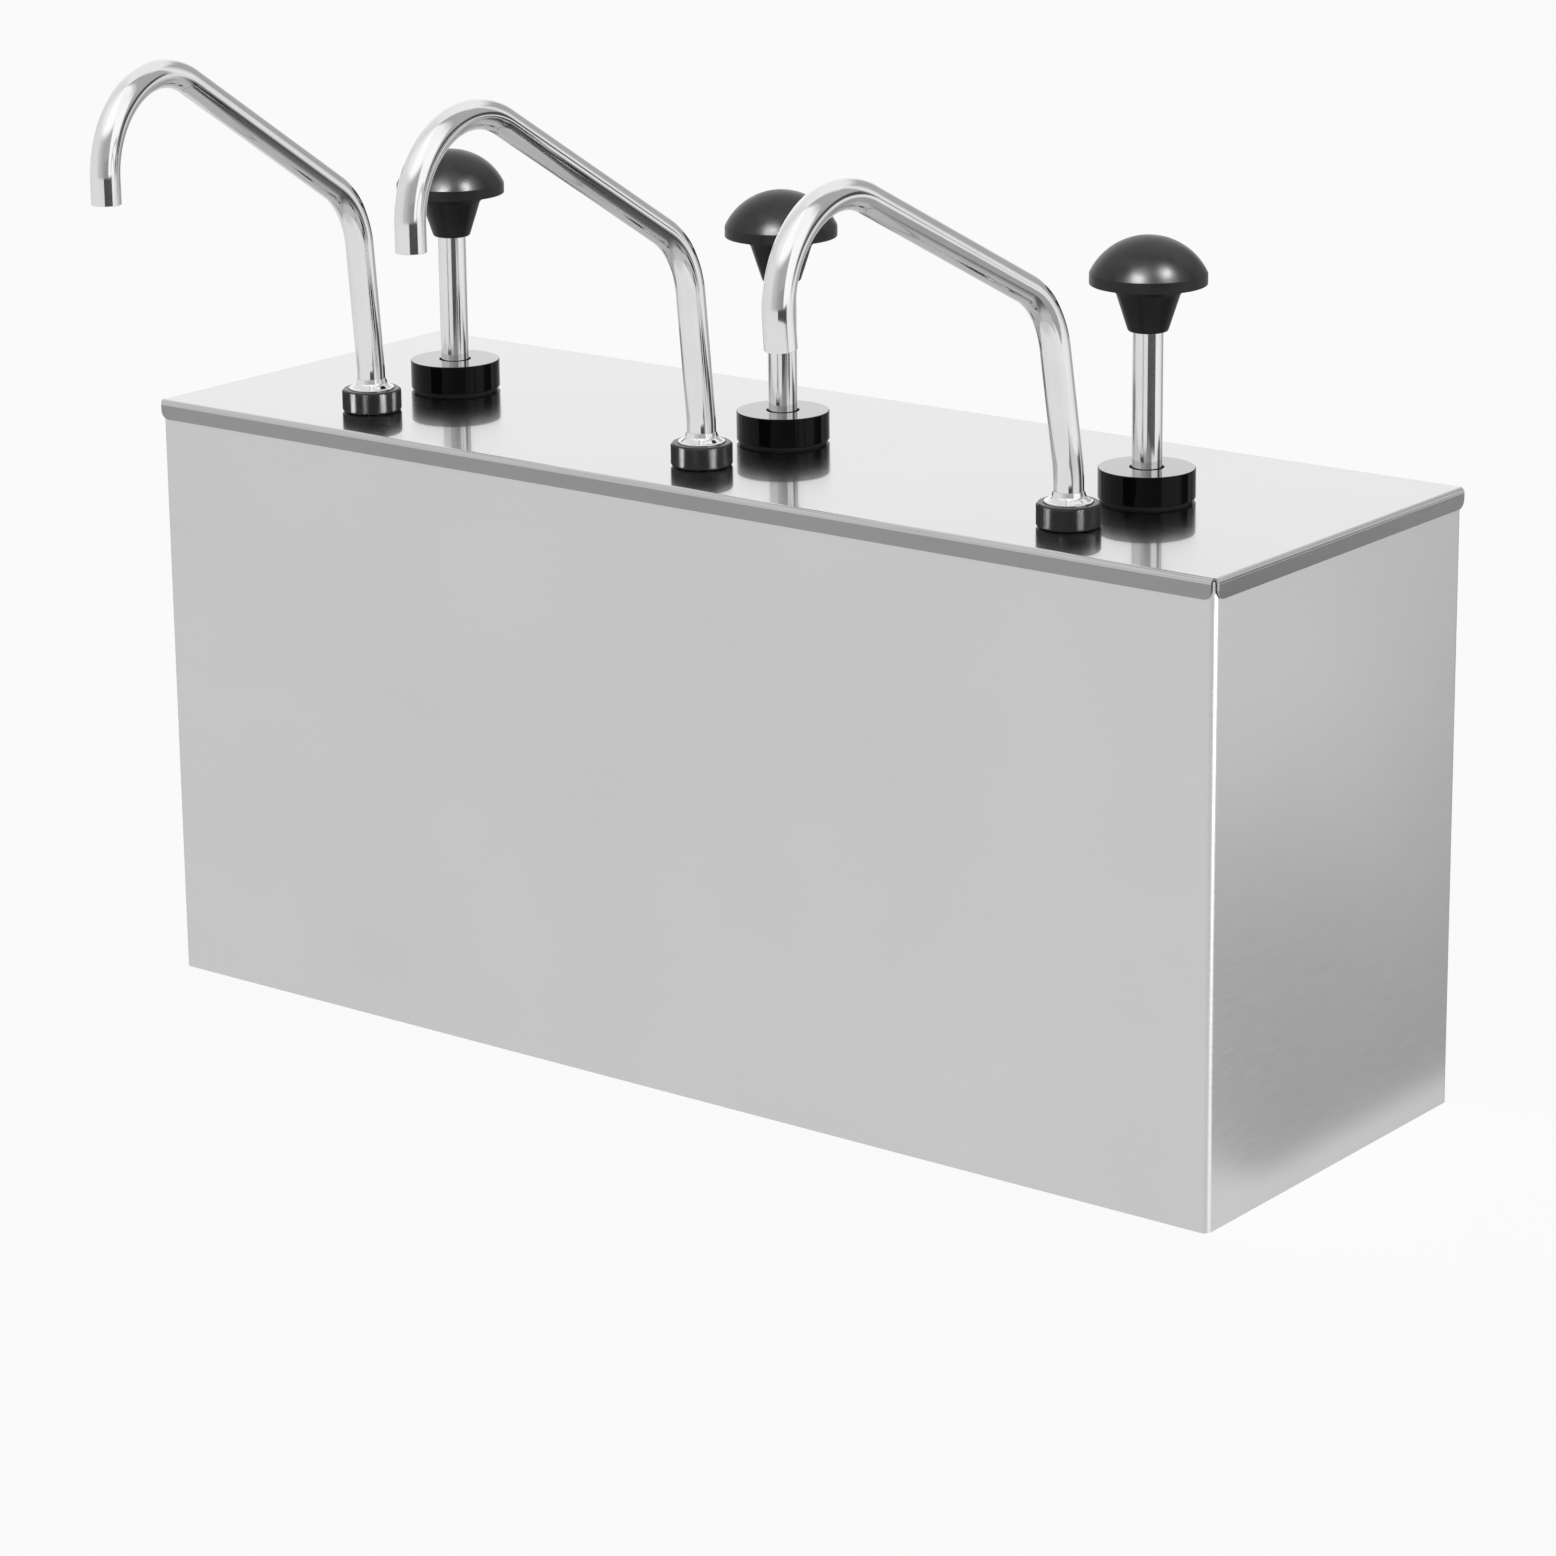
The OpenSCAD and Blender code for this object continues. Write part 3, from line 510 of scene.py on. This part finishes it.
# outer skin up to the rounded mouth, and the bore back to the foot
def spoutLoops(s, side):
    heading = math.radians(s["headingDeg"][side])
    forward = Vector((math.sin(heading), -math.cos(heading), 0))
    across = Vector((math.cos(heading), math.sin(heading), 0))
    base = Vector((*spoutCentre(side), 0))

    def ring(station, radius, along=0.0):
        x, z, angle = station
        ahead = forward * math.sin(angle) + Vector((0, 0, math.cos(angle)))
        normal = forward * math.cos(angle) - Vector((0, 0, math.sin(angle)))
        middle = base + forward * x + Vector((0, 0, z)) + ahead * along
        return [(middle + (across * math.cos(a) + normal * math.sin(a)) * radius) * mm
                for a in (fullTurn * n / s["segments"] for n in range(s["segments"]))]

    *body, mouth = spoutAxis(s, side)
    outer, inner, rounding = s["outerRadius"], s["innerRadius"], s["mouthRound"]
    quarter = [math.pi / 2 * n / s["mouthSteps"] for n in range(s["mouthSteps"] + 1)]
    loops = [ring(p, outer) for p in body]
    loops += [ring(mouth, outer - rounding * (1 - math.cos(a)), rounding * (math.sin(a) - 1))
              for a in quarter]
    loops += [ring(mouth, inner + rounding * (1 - math.sin(a)), rounding * (math.cos(a) - 1))
              for a in quarter]
    loops += [ring(p, inner) for p in reversed(body)]
    return loops


for side in sides:
    points, faces = skin(spoutLoops(spout, side))
    addPiece(side + ".goosenecktube", points, faces, spoutSteel, side + "_spout", [side + "_spout_tube"],
             "polished_steel", spout["sharpDeg"])
print("spout tubes made")


# ferrule: flange inside the nut, a bead above it and a bell curve up to the tube
ferrule = {
    "boreRadius": 6.05, "flangeRadius": 10.5, "flangeThickness": 2, "flangeEdge": 0.15, "footRadius": 9.6,
    "beadHeight": 0.8, "shoulderShare": 0.75, "beadInset": 0.7, "beadEdges": (0.35, 0.15),
    "waistWall": 0.75, "waistHeight": 2.3, "waistFillet": 2.2, "bellHeight": 4.5, "topWall": 0.22,
    "topEdge": 0.1, "segments": 96,
}


def ferruleOutline(f, low, nutTop):
    shoulder, top = low + f["flangeThickness"], nutTop + f["bellHeight"]
    return fillet([
        (f["boreRadius"], low, 0), (f["flangeRadius"], low, f["flangeEdge"]),
        (f["flangeRadius"], shoulder, f["flangeEdge"]), (f["footRadius"], shoulder, 0),
        (f["footRadius"], nutTop + f["beadHeight"] * f["shoulderShare"], f["beadEdges"][0]),
        (f["footRadius"] - f["beadInset"], nutTop + f["beadHeight"], f["beadEdges"][1]),
        (f["boreRadius"] + f["waistWall"], nutTop + f["waistHeight"], f["waistFillet"]),
        (f["boreRadius"] + f["topWall"], top, f["topEdge"]), (f["boreRadius"], top, 0)])


for side in sides:
    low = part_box(side + "_spout_ferrule")[0].z / mm
    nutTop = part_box(side + "_knurled_nut")[1].z / mm
    addTurned(side + ".coneFerrule", ferruleOutline(ferrule, low, nutTop), spoutCentre(side),
              ferrule["segments"], spoutSteel, side + "_spout", [side + "_spout_ferrule"], "polished_steel")


# nut with a diamond knurl: every second grid point is the tip of a small pyramid
nut = {
    "radius": 12.65, "boreRadius": 10.7, "openingRadius": 9.75, "lip": 1.8, "chamfer": 0.5,
    "topEdge": 0.12, "openingEdge": 0.25, "recessRadius": 11.3, "recessDepth": 1,
    "diamonds": 62, "rows": 7, "knurlDepth": 0.38, "filletSteps": 4, "sharpDeg": 20,
}


def nutMesh(n, centre, low, high):
    columns, rows = 2 * n["diamonds"], 2 * n["rows"]
    c = n["chamfer"]
    valley = n["radius"] - n["knurlDepth"]
    sections = [(n["recessRadius"], low), (valley - c, low)]
    loops = [[(r, z)] * columns for r, z in sections]
    for i in range(rows + 1):
        z = low + c + (high - low - 2 * c) * i / rows
        tips = [(i + j) % 2 == 1 and 0 < i < rows for j in range(columns)]
        loops.append([(n["radius"] if tip else valley, z) for tip in tips])
    lip, recess = high - n["lip"], low + n["recessDepth"]
    # the first corner only guides the fillet after it
    top = fillet([
        (valley, high - c, 0), (valley - c, high, n["topEdge"]), (n["openingRadius"], high, n["openingEdge"]),
        (n["openingRadius"], lip, 0), (n["boreRadius"], lip, 0), (n["boreRadius"], recess, 0),
        (n["recessRadius"], recess, 0)], n["filletSteps"])[1:]
    loops += [[tuple(p)] * columns for p in top]
    points = []
    for loop in loops:
        for j, (r, z) in enumerate(loop):
            a = fullTurn * j / columns
            points.append(Vector((centre[0] + r * math.cos(a), centre[1] + r * math.sin(a), z)) * mm)
    faces = []
    firstRow = len(sections)
    for k in range(len(loops)):
        for j in range(columns):
            a, b = k * columns + j, k * columns + (j + 1) % columns
            d, e = ((k + 1) % len(loops) * columns + v for v in (j, (j + 1) % columns))
            if not firstRow <= k < firstRow + rows:
                faces.append((a, b, e, d))
            elif (k - firstRow + j) % 2 == 0:
                faces += [(a, b, e), (a, e, d)]
            else:
                faces += [(a, b, d), (b, e, d)]
    return points, faces


for side in sides:
    low, high = (v.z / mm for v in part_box(side + "_knurled_nut"))
    points, faces = nutMesh(nut, spoutCentre(side), low, high)
    addPiece(side + ".diamondNut", points, faces, nutBlack, side + "_nut", [side + "_knurled_nut"],
             "nut_black", nut["sharpDeg"])
print("ferrules and nuts made")


# casing: one wall section, as (inset, height), led around the rounded rectangle of the box
casing = {
    "cornerRadius": 3, "sheet": 1, "foldRadius": 1.4, "hemDepth": 12, "hemEdge": 0.3, "hemEnd": 0.2,
    "edge": 0.15, "cornerSteps": 14, "filletSteps": 5, "sharpDeg": 30,
}


def boxLoop(low, high, radius, inset, height, steps):
    points = []
    corners = ((high.x, high.y, 0), (low.x, high.y, 90), (low.x, low.y, 180), (high.x, low.y, 270))
    r = radius - inset
    for x, y, first in corners:
        cx = x - math.copysign(radius, x)
        cy = y - math.copysign(radius, y)
        for n in range(steps + 1):
            a = math.radians(first + 90 * n / steps)
            points.append(Vector((cx + r * math.cos(a), cy + r * math.sin(a), height)) * mm)
    return points


def casingMesh(c):
    low, high = (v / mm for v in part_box("casing_shell"))
    hem = high.z - c["hemDepth"]
    section = fillet([
        (0, low.z, c["edge"]), (0, high.z, c["foldRadius"]), (2 * c["sheet"], high.z, c["hemEdge"]),
        (2 * c["sheet"], hem, c["hemEnd"]), (c["sheet"], hem, 0), (c["sheet"], low.z, c["edge"])],
        c["filletSteps"])
    return skin([boxLoop(low, high, c["cornerRadius"], inset, z, c["cornerSteps"]) for inset, z in section])


addPiece("foldedCasing", *casingMesh(casing), caseSteel, "casing", ["casing_shell"], "satin_steel",
         casing["sharpDeg"])
print("casing made")


# lid: flat plate with its holes, and a bent flange along each edge with rounded lower ends
lid = {
    "sheet": 1, "bendRadius": 2.2, "flangeHeight": 8.3, "endRadius": 3.6, "bendSteps": 10, "endSteps": 10,
    "edge": 0.18, "pumpHole": 16.3, "spoutHole": 9.3, "holeSegments": 64, "filletSteps": 3, "sharpDeg": 32,
}


# flat plate inside an outline, without the holes, each (x, y, radius); points and faces in millimetres
def plateWithHoles(outline, bottom, top, holes, segments):
    flat = list(outline)
    edges = [(n, (n + 1) % len(outline)) for n in range(len(outline))]
    firsts = []
    for cx, cy, radius in holes:
        first = len(flat)
        firsts.append(first)
        turns = [fullTurn * n / segments for n in range(segments)]
        flat += [Vector((cx + radius * math.cos(a), cy + radius * math.sin(a))) for a in turns]
        edges += [(first + n, first + (n + 1) % segments) for n in range(segments)]
    # output type 1 gives the triangles inside the outline, the last number merges points
    spots, _, triangles, origins, _, _ = delaunay_2d_cdt(flat, edges, [], 1, 1e-5)
    place = {before: after for after, befores in enumerate(origins) for before in befores}
    count = len(spots)
    faces = []
    for t in triangles:
        middle = sum((spots[k] for k in t), Vector((0, 0))) / 3
        if all((middle - Vector((cx, cy))).length > radius for cx, cy, radius in holes):
            faces += [tuple(t), tuple(k + count for k in reversed(t))]
    for first in firsts:
        for n in range(segments):
            p, q = place[first + n], place[first + (n + 1) % segments]
            faces.append((p, q, q + count, p + count))
    return [Vector((p.x, p.y, z)) for z in (top, bottom) for p in spots], faces


# cross-section of the bend and leaf, (outward, down), for a leaf that reaches the given depth
def flangeSection(v, depth):
    r, t, e, steps = v["bendRadius"], v["sheet"], v["edge"], v["filletSteps"]
    arc = [math.pi / 2 * n / v["bendSteps"] for n in range(v["bendSteps"] + 1)]
    outer = [(r * math.sin(a), r * (1 - math.cos(a))) for a in arc]
    inner = [((r - t) * math.sin(a), r - (r - t) * math.cos(a)) for a in reversed(arc)]
    tip = fillet([(r, depth, e), (r - t, depth, e), (r - t, r, 0), (r, r, 0)], steps)[:2 * (steps + 1)]
    return outer + [tuple(p) for p in tip] + inner


# places along a flange with the depth that its leaf reaches there
def flangeStations(v, length):
    r = v["endRadius"]
    along = [r * (1 - math.cos(math.pi / 2 * n / v["endSteps"])) for n in range(v["endSteps"] + 1)]
    ends = [(s, v["flangeHeight"] - r + math.sqrt(max(r * r - (r - s) ** 2, 0))) for s in along]
    return ends + [(length - s, depth) for s, depth in reversed(ends)]


def lidMesh(v):
    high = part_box("lid_panel")[1] / mm
    halfX, halfY = high.x - v["bendRadius"], high.y - v["bendRadius"]
    top = layout["lidTop"]
    lidEdges = [
        (2 * halfX, lambda s, out, down: Vector((s, -halfY - out, top - down))),
        (2 * halfY, lambda s, out, down: Vector((halfX + out, s, top - down))),
        (2 * halfX, lambda s, out, down: Vector((-s, halfY + out, top - down))),
        (2 * halfY, lambda s, out, down: Vector((-halfX - out, -s, top - down))),
    ]
    outline = [place(s - length / 2, 0, 0).xy
               for length, place in lidEdges for s, _ in flangeStations(v, length)[:-1]]
    holes = [(*pumpCentre(side), v["pumpHole"]) for side in sides]
    holes += [(*spoutCentre(side), v["spoutHole"]) for side in sides]
    points, faces = plateWithHoles(outline, top - v["sheet"], top, holes, v["holeSegments"])
    for length, place in lidEdges:
        loops = [[place(s - length / 2, out, down) for out, down in flangeSection(v, depth)]
                 for s, depth in flangeStations(v, length)]
        leaf, leafFaces = skin(loops, closed=False)
        first, count = len(points), len(loops[0])
        points += leaf
        faces += [tuple(first + k for k in f) for f in leafFaces if f[0] % count != count - 1]
        faces.append(tuple(first + k for k in range(count)))
        faces.append(tuple(len(points) - 1 - k for k in range(count)))
    return [p * mm for p in points], faces


piece = addPiece("foldedLid", *lidMesh(lid), lidSteel, "lid", ["lid_panel"], "satin_steel", lid["sharpDeg"])
bendFoot = (layout["lidTop"] - lid["bendRadius"]) * mm
# the flange leaves below the bends take the darker copy of the lid steel: painted shade
refinish(piece, flangePaintedShadeSteel, lambda centre: centre.z < bendFoot)
print("lid made")


# return spring with closed end turns, carried on the plunger
coil = {
    "wireRadius": 0.9, "meanRadius": 11.3, "turns": 9, "endRise": 1.9, "stroke": 50, "turnSteps": 28,
    "wireSides": 12, "sharpDeg": 50,
}


def coilMesh(c, centre, low, high):
    start, end = low + c["wireRadius"], high - c["wireRadius"]
    pitch = (end - start - 2 * c["endRise"]) / (c["turns"] - 2)
    around = [fullTurn * n / c["wireSides"] for n in range(c["wireSides"])]
    loops = []
    for k in range(c["turns"] * c["turnSteps"] + 1):
        turn = k / c["turnSteps"]
        if turn < 1:
            height = start + turn * c["endRise"]
        elif turn > c["turns"] - 1:
            height = end - (c["turns"] - turn) * c["endRise"]
        else:
            height = start + c["endRise"] + (turn - 1) * pitch
        outward = Vector((math.cos(fullTurn * turn), math.sin(fullTurn * turn), 0))
        loops.append([(Vector((*centre, height)) + outward * (c["meanRadius"] + c["wireRadius"] * math.cos(a))
                       + Vector((0, 0, c["wireRadius"] * math.sin(a)))) * mm for a in around])
    points, faces = skin(loops, closed=False)
    faces += [tuple(range(c["wireSides"])), tuple(range(len(points) - c["wireSides"], len(points)))]
    return points, faces


for side in sides:
    low, high = (v.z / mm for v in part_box(side + "_return_spring"))
    points, faces = coilMesh(coil, pumpCentre(side), low, high)
    piece = addPiece(side + ".returnCoil", points, faces, springSteel, side + "_plunger",
                     [side + "_return_spring"], "spring_wire", coil["sharpDeg"])
    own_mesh(piece)
print("return springs made")


# materials of the carried-over solids
finishes = {
    "base_tray": caseSteel, "sauce_tub": tubSteel, "barrel_tube": innerSteel, "riser_tube": innerSteel,
    "link_tubes": innerSteel, "spout_studs": innerSteel, "stud_locknuts": innerSteel,
    "inlet_ball": ballSteel, "outlet_ball": ballSteel, "piston": blockPlastic, "rod_bushes": blockPlastic,
    "valve_blocks": blockPlastic, "inlet_caps": blockPlastic, "outlet_elbows": blockPlastic,
    "barrel_head": headPlastic, "piston_seal": sealRubber, "collar_washers": sealRubber,
    "lid_gaskets": sealRubber, "spout_orings": sealRubber,
}
for name, node in frame["nodes"].items():
    start, _, rest = name.partition("_")
    kind = rest if start in sides else name
    if kind in finishes:
        node.data.materials.clear()
        node.data.materials.append(finishes[kind])
print("carried-over solids finished")


# floor, soft lights and the surround that polished steel mirrors: a bright floor, a darker wall on the
# side of the camera, white panels above it and to the right, a narrow dark flag and a white wall behind
studio = {
    "floorColor": (0.86, 0.86, 0.86), "floorRoughness": 0.6, "floorReach": 25,
    "floorGlow": 1.03,  # brightness that the camera sees, where 1 is white
    "floorShare": 0.14,  # share of the shaded floor in it
    "ambientLevel": 0.58,
    # each zone: (direction in degrees from +X, brightness), none above the zone scale
    "floorZone": [
        (-180, 0.80), (-160, 0.84), (-110, 0.88), (-60, 0.87), (0, 0.93), (20, 1.0), (45, 0.95), (60, 0.85),
        (72, 0.45), (100, 0.45), (120, 0.70), (180, 0.80)],
    "wallZone": [
        (-180, 0.80), (-165, 0.85), (-112, 0.85), (-96, 0.66), (-75, 0.54), (-58, 0.43), (-45, 0.37),
        (-23, 0.34), (-19, 1.18), (24, 1.14), (30, 0.60), (36, 0.12), (56, 0.07), (59, 1.03), (64, 0.85),
        (72, 0.42), (98, 0.45), (112, 1.05), (120, 1.10), (150, 1.08), (170, 0.85), (180, 0.80)],
    "upperZone": [
        (-180, 0.85), (-160, 0.85), (-140, 1.0), (-106, 1.06), (-100, 1.22), (-42, 1.22), (-25, 1.12),
        (15, 1.12), (25, 0.75), (33, 0.35), (40, 0.13), (50, 0.20), (55, 0.80), (62, 1.0), (150, 0.97),
        (180, 0.85)],
    "zoneScale": 1.5,
    # heights in degrees over which floor becomes wall, wall becomes upper wall, and floor its lowest part
    "floorEdge": (-10, -6), "upperEdge": (26, 40), "underEdge": (-50, -70), "underLevel": 0.70,
    # least brightness above the horizon in what is mirrored once, so that the lid stays light from every side
    "leastEdge": (2, 8), "leastLevel": 0.46,
    # dark gap under the front wall: directions and heights, with the width of its soft edge
    "gap": {"turn": (-56, 3), "height": (-15, -8.5), "soft": 2, "level": 0.08},
    # grey card on the floor to the right, seen by mirrors alone: corners in metres
    "greyCard": {"low": (0.29, -0.03), "high": (0.9, 0.8), "level": 0.40, "roughness": 0.8},
    # lamps around the middle of the object: direction from +X and height in degrees, distance and size
    # in metres, and endings of the names of the pieces that they light
    "lampMiddle": (0, 0, 0.25),
    "lamps": {
        "leftSoftbox": {"turn": -76, "height": 47, "distance": 2.4, "size": (0.8, 0.6), "power": 120,
                        "lights": ("knobCap", "diamondNut")},
        "rightSoftbox": {"turn": -6, "height": 50, "distance": 2.4, "size": (0.6, 0.6), "power": 80,
                         "lights": ("knobCap", "diamondNut")},
        "edgeStrip": {"turn": -5, "height": 3, "distance": 1.5, "size": (0.3, 0.6), "power": 12,
                      "lights": ("foldedCasing",)},
    },
    # small panel beside the box that brightens the near part of its right side
    "sidePanel": {
        "place": (0.52, 0.30, 0.08), "towards": (0.27, -0.1, 0.2), "size": (0.12, 0.14), "power": 0.030,
        "lights": ("foldedCasing",)},
    "lampDiffuse": 0.3,  # share of each lamp's light that matt surfaces take
}


def mathNode(nodes, operation, *values):
    node = nodes.new("ShaderNodeMath")
    node.operation = operation
    for socket, value in zip(node.inputs, values):
        if isinstance(value, (int, float)):
            socket.default_value = value
        else:
            node.id_data.links.new(value, socket)
    return node.outputs[0]


def smoothRange(nodes, source, fromLow, fromHigh, low, high):
    node = nodes.new("ShaderNodeMapRange")
    node.interpolation_type = "SMOOTHSTEP"
    for name, value in (("From Min", fromLow), ("From Max", fromHigh), ("To Min", low), ("To Max", high)):
        node.inputs[name].default_value = value
    node.id_data.links.new(source, node.inputs["Value"])
    return node.outputs["Result"]


def inBand(nodes, source, span, soft):
    return mathNode(nodes, "MULTIPLY", smoothRange(nodes, source, span[0] - soft, span[0], 0, 1),
                    smoothRange(nodes, source, span[1], span[1] + soft, 1, 0))


def mixLevels(nodes, first, second, share):
    return mathNode(nodes, "MULTIPLY_ADD", mathNode(nodes, "SUBTRACT", second, first), share, first)


# brightness around the horizon, from stops of (degrees from +X, level)
def zoneLevel(nodes, share, stops, scale):
    ramp = nodes.new("ShaderNodeValToRGB")
    marks = ramp.color_ramp.elements
    for degrees, _ in stops[1:-1]:
        marks.new(degrees / 360 + 0.5)
    for mark, (_, level) in zip(marks, stops):
        mark.color = (level / scale, level / scale, level / scale, 1)
    nodes.id_data.links.new(share, ramp.inputs["Fac"])
    return mathNode(nodes, "MULTIPLY", ramp.outputs["Color"], scale)


# brightness that a mirror sees in each direction of the studio, and the height of that direction in degrees
def studioLevel(nodes, s):
    place = nodes.new("ShaderNodeTexCoord")
    axes = nodes.new("ShaderNodeSeparateXYZ")
    nodes.id_data.links.new(place.outputs["Generated"], axes.inputs[0])
    turn = mathNode(nodes, "ARCTAN2", axes.outputs["Y"], axes.outputs["X"])
    around = mathNode(nodes, "MULTIPLY_ADD", turn, 1 / fullTurn, 0.5)
    degrees = mathNode(nodes, "MULTIPLY", turn, 180 / math.pi)
    height = mathNode(nodes, "MULTIPLY", mathNode(nodes, "ARCSINE", axes.outputs["Z"]), 180 / math.pi)
    floor, wall, upper = (zoneLevel(nodes, around, s[zone], s["zoneScale"])
                          for zone in ("floorZone", "wallZone", "upperZone"))
    level = mixLevels(nodes, floor, wall, smoothRange(nodes, height, *s["floorEdge"], 0, 1))
    level = mixLevels(nodes, level, upper, smoothRange(nodes, height, *s["upperEdge"], 0, 1))
    gap = s["gap"]
    inGap = mathNode(nodes, "MULTIPLY", inBand(nodes, height, gap["height"], gap["soft"]),
                     inBand(nodes, degrees, gap["turn"], gap["soft"]))
    level = mixLevels(nodes, level, gap["level"], inGap)
    return mixLevels(nodes, level, s["underLevel"], smoothRange(nodes, height, *s["underEdge"], 0, 1)), height


def makeWorld(s):
    world = bpy.data.worlds.new("whiteStudio")
    scene.world = world
    world.use_nodes = True
    nodes, links = world.node_tree.nodes, world.node_tree.links
    nodes.clear()
    rays = nodes.new("ShaderNodeLightPath")
    mirrored, height = studioLevel(nodes, s)
    firstHand = mathNode(nodes, "LESS_THAN", rays.outputs["Glossy Depth"], 1.5)  # 1 after one mirror
    least = smoothRange(nodes, height, *s["leastEdge"], 0, s["leastLevel"])
    mirrored = mathNode(nodes, "MAXIMUM", mirrored, mathNode(nodes, "MULTIPLY", least, firstHand))
    level = mixLevels(nodes, s["ambientLevel"], mirrored, rays.outputs["Is Glossy Ray"])
    light = nodes.new("ShaderNodeBackground")
    light.inputs["Color"].default_value = (1, 1, 1, 1)
    out = nodes.new("ShaderNodeOutputWorld")
    links.new(level, light.inputs["Strength"])
    links.new(light.outputs[0], out.inputs["Surface"])


# a level sheet from one corner to the other
def addSheet(name, low, high, height, material):
    (x0, y0), (x1, y1) = low, high
    mesh = bpy.data.meshes.new(name)
    corners = [(x0, y0, height), (x1, y0, height), (x1, y1, height), (x0, y1, height)]
    mesh.from_pydata(corners, [], [(0, 1, 2, 3)])
    mesh.materials.append(material)
    sheet = bpy.data.objects.new(name, mesh)
    scene.collection.objects.link(sheet)
    return sheet


# the floor keeps the shadow and mirrors take the studio instead of it
def makeFloor(s):
    material = newMaterial("paleFloor", s["floorColor"], 0, s["floorRoughness"], {"Specular IOR Level": 0})
    glow = addNode(material, "ShaderNodeEmission")
    glow.inputs["Strength"].default_value = s["floorGlow"]
    both = addNode(material, "ShaderNodeMixShader")
    rays = addNode(material, "ShaderNodeLightPath")
    nodes = material.node_tree.nodes
    glowShare = mathNode(nodes, "MULTIPLY", rays.outputs["Is Camera Ray"], 1 - s["floorShare"])
    wire(material, glowShare, both.inputs["Fac"])
    wire(material, shaderOf(material).outputs[0], both.inputs[1])
    wire(material, glow.outputs[0], both.inputs[2])
    wire(material, both.outputs[0], nodes["Material Output"].inputs["Surface"])
    reach = s["floorReach"]
    floor = addSheet("studioFloor", (-reach, -reach), (reach, reach), 0, material)
    floor.visible_glossy = False


def makeCard(card):
    material = newMaterial("greyCard", (0, 0, 0), 0, card["roughness"], {
        "Specular IOR Level": 0, "Emission Color": (1, 1, 1, 1), "Emission Strength": card["level"]})
    material.cycles.emission_sampling = "NONE"
    board = addSheet("greyCard", card["low"], card["high"], mm, material)
    board.visible_camera = board.visible_diffuse = board.visible_shadow = False


# a soft lamp that lights only the pieces whose names end in its words
def addLamp(name, place, target, lamp):
    data = bpy.data.lights.new(name, "AREA")
    data.shape = "RECTANGLE"
    data.size, data.size_y = lamp["size"]
    data.energy = lamp["power"]
    data.diffuse_factor = studio["lampDiffuse"]
    light = bpy.data.objects.new(name, data)
    light.location = place
    light.rotation_euler = (Vector(place) - Vector(target)).to_track_quat("Z", "Y").to_euler()
    light.visible_camera = False
    scene.collection.objects.link(light)
    pieces = bpy.data.collections.new(name + "Lights")
    for piece in scene.objects:
        if piece.type == "MESH" and piece.name.endswith(lamp["lights"]):
            pieces.objects.link(piece)
    light.light_linking.receiver_collection = pieces


def makeLamps(s):
    middle = Vector(s["lampMiddle"])
    for name, lamp in s["lamps"].items():
        a, e = math.radians(lamp["turn"]), math.radians(lamp["height"])
        towards = Vector((math.cos(a) * math.cos(e), math.sin(a) * math.cos(e), math.sin(e)))
        addLamp(name, middle + towards * lamp["distance"], middle, lamp)
    panel = s["sidePanel"]
    addLamp("sidePanel", panel["place"], panel["towards"], panel)


makeWorld(studio)
makeFloor(studio)
makeCard(studio["greyCard"])
makeLamps(studio)
scene.view_settings.view_transform = "Standard"
print("studio ready")
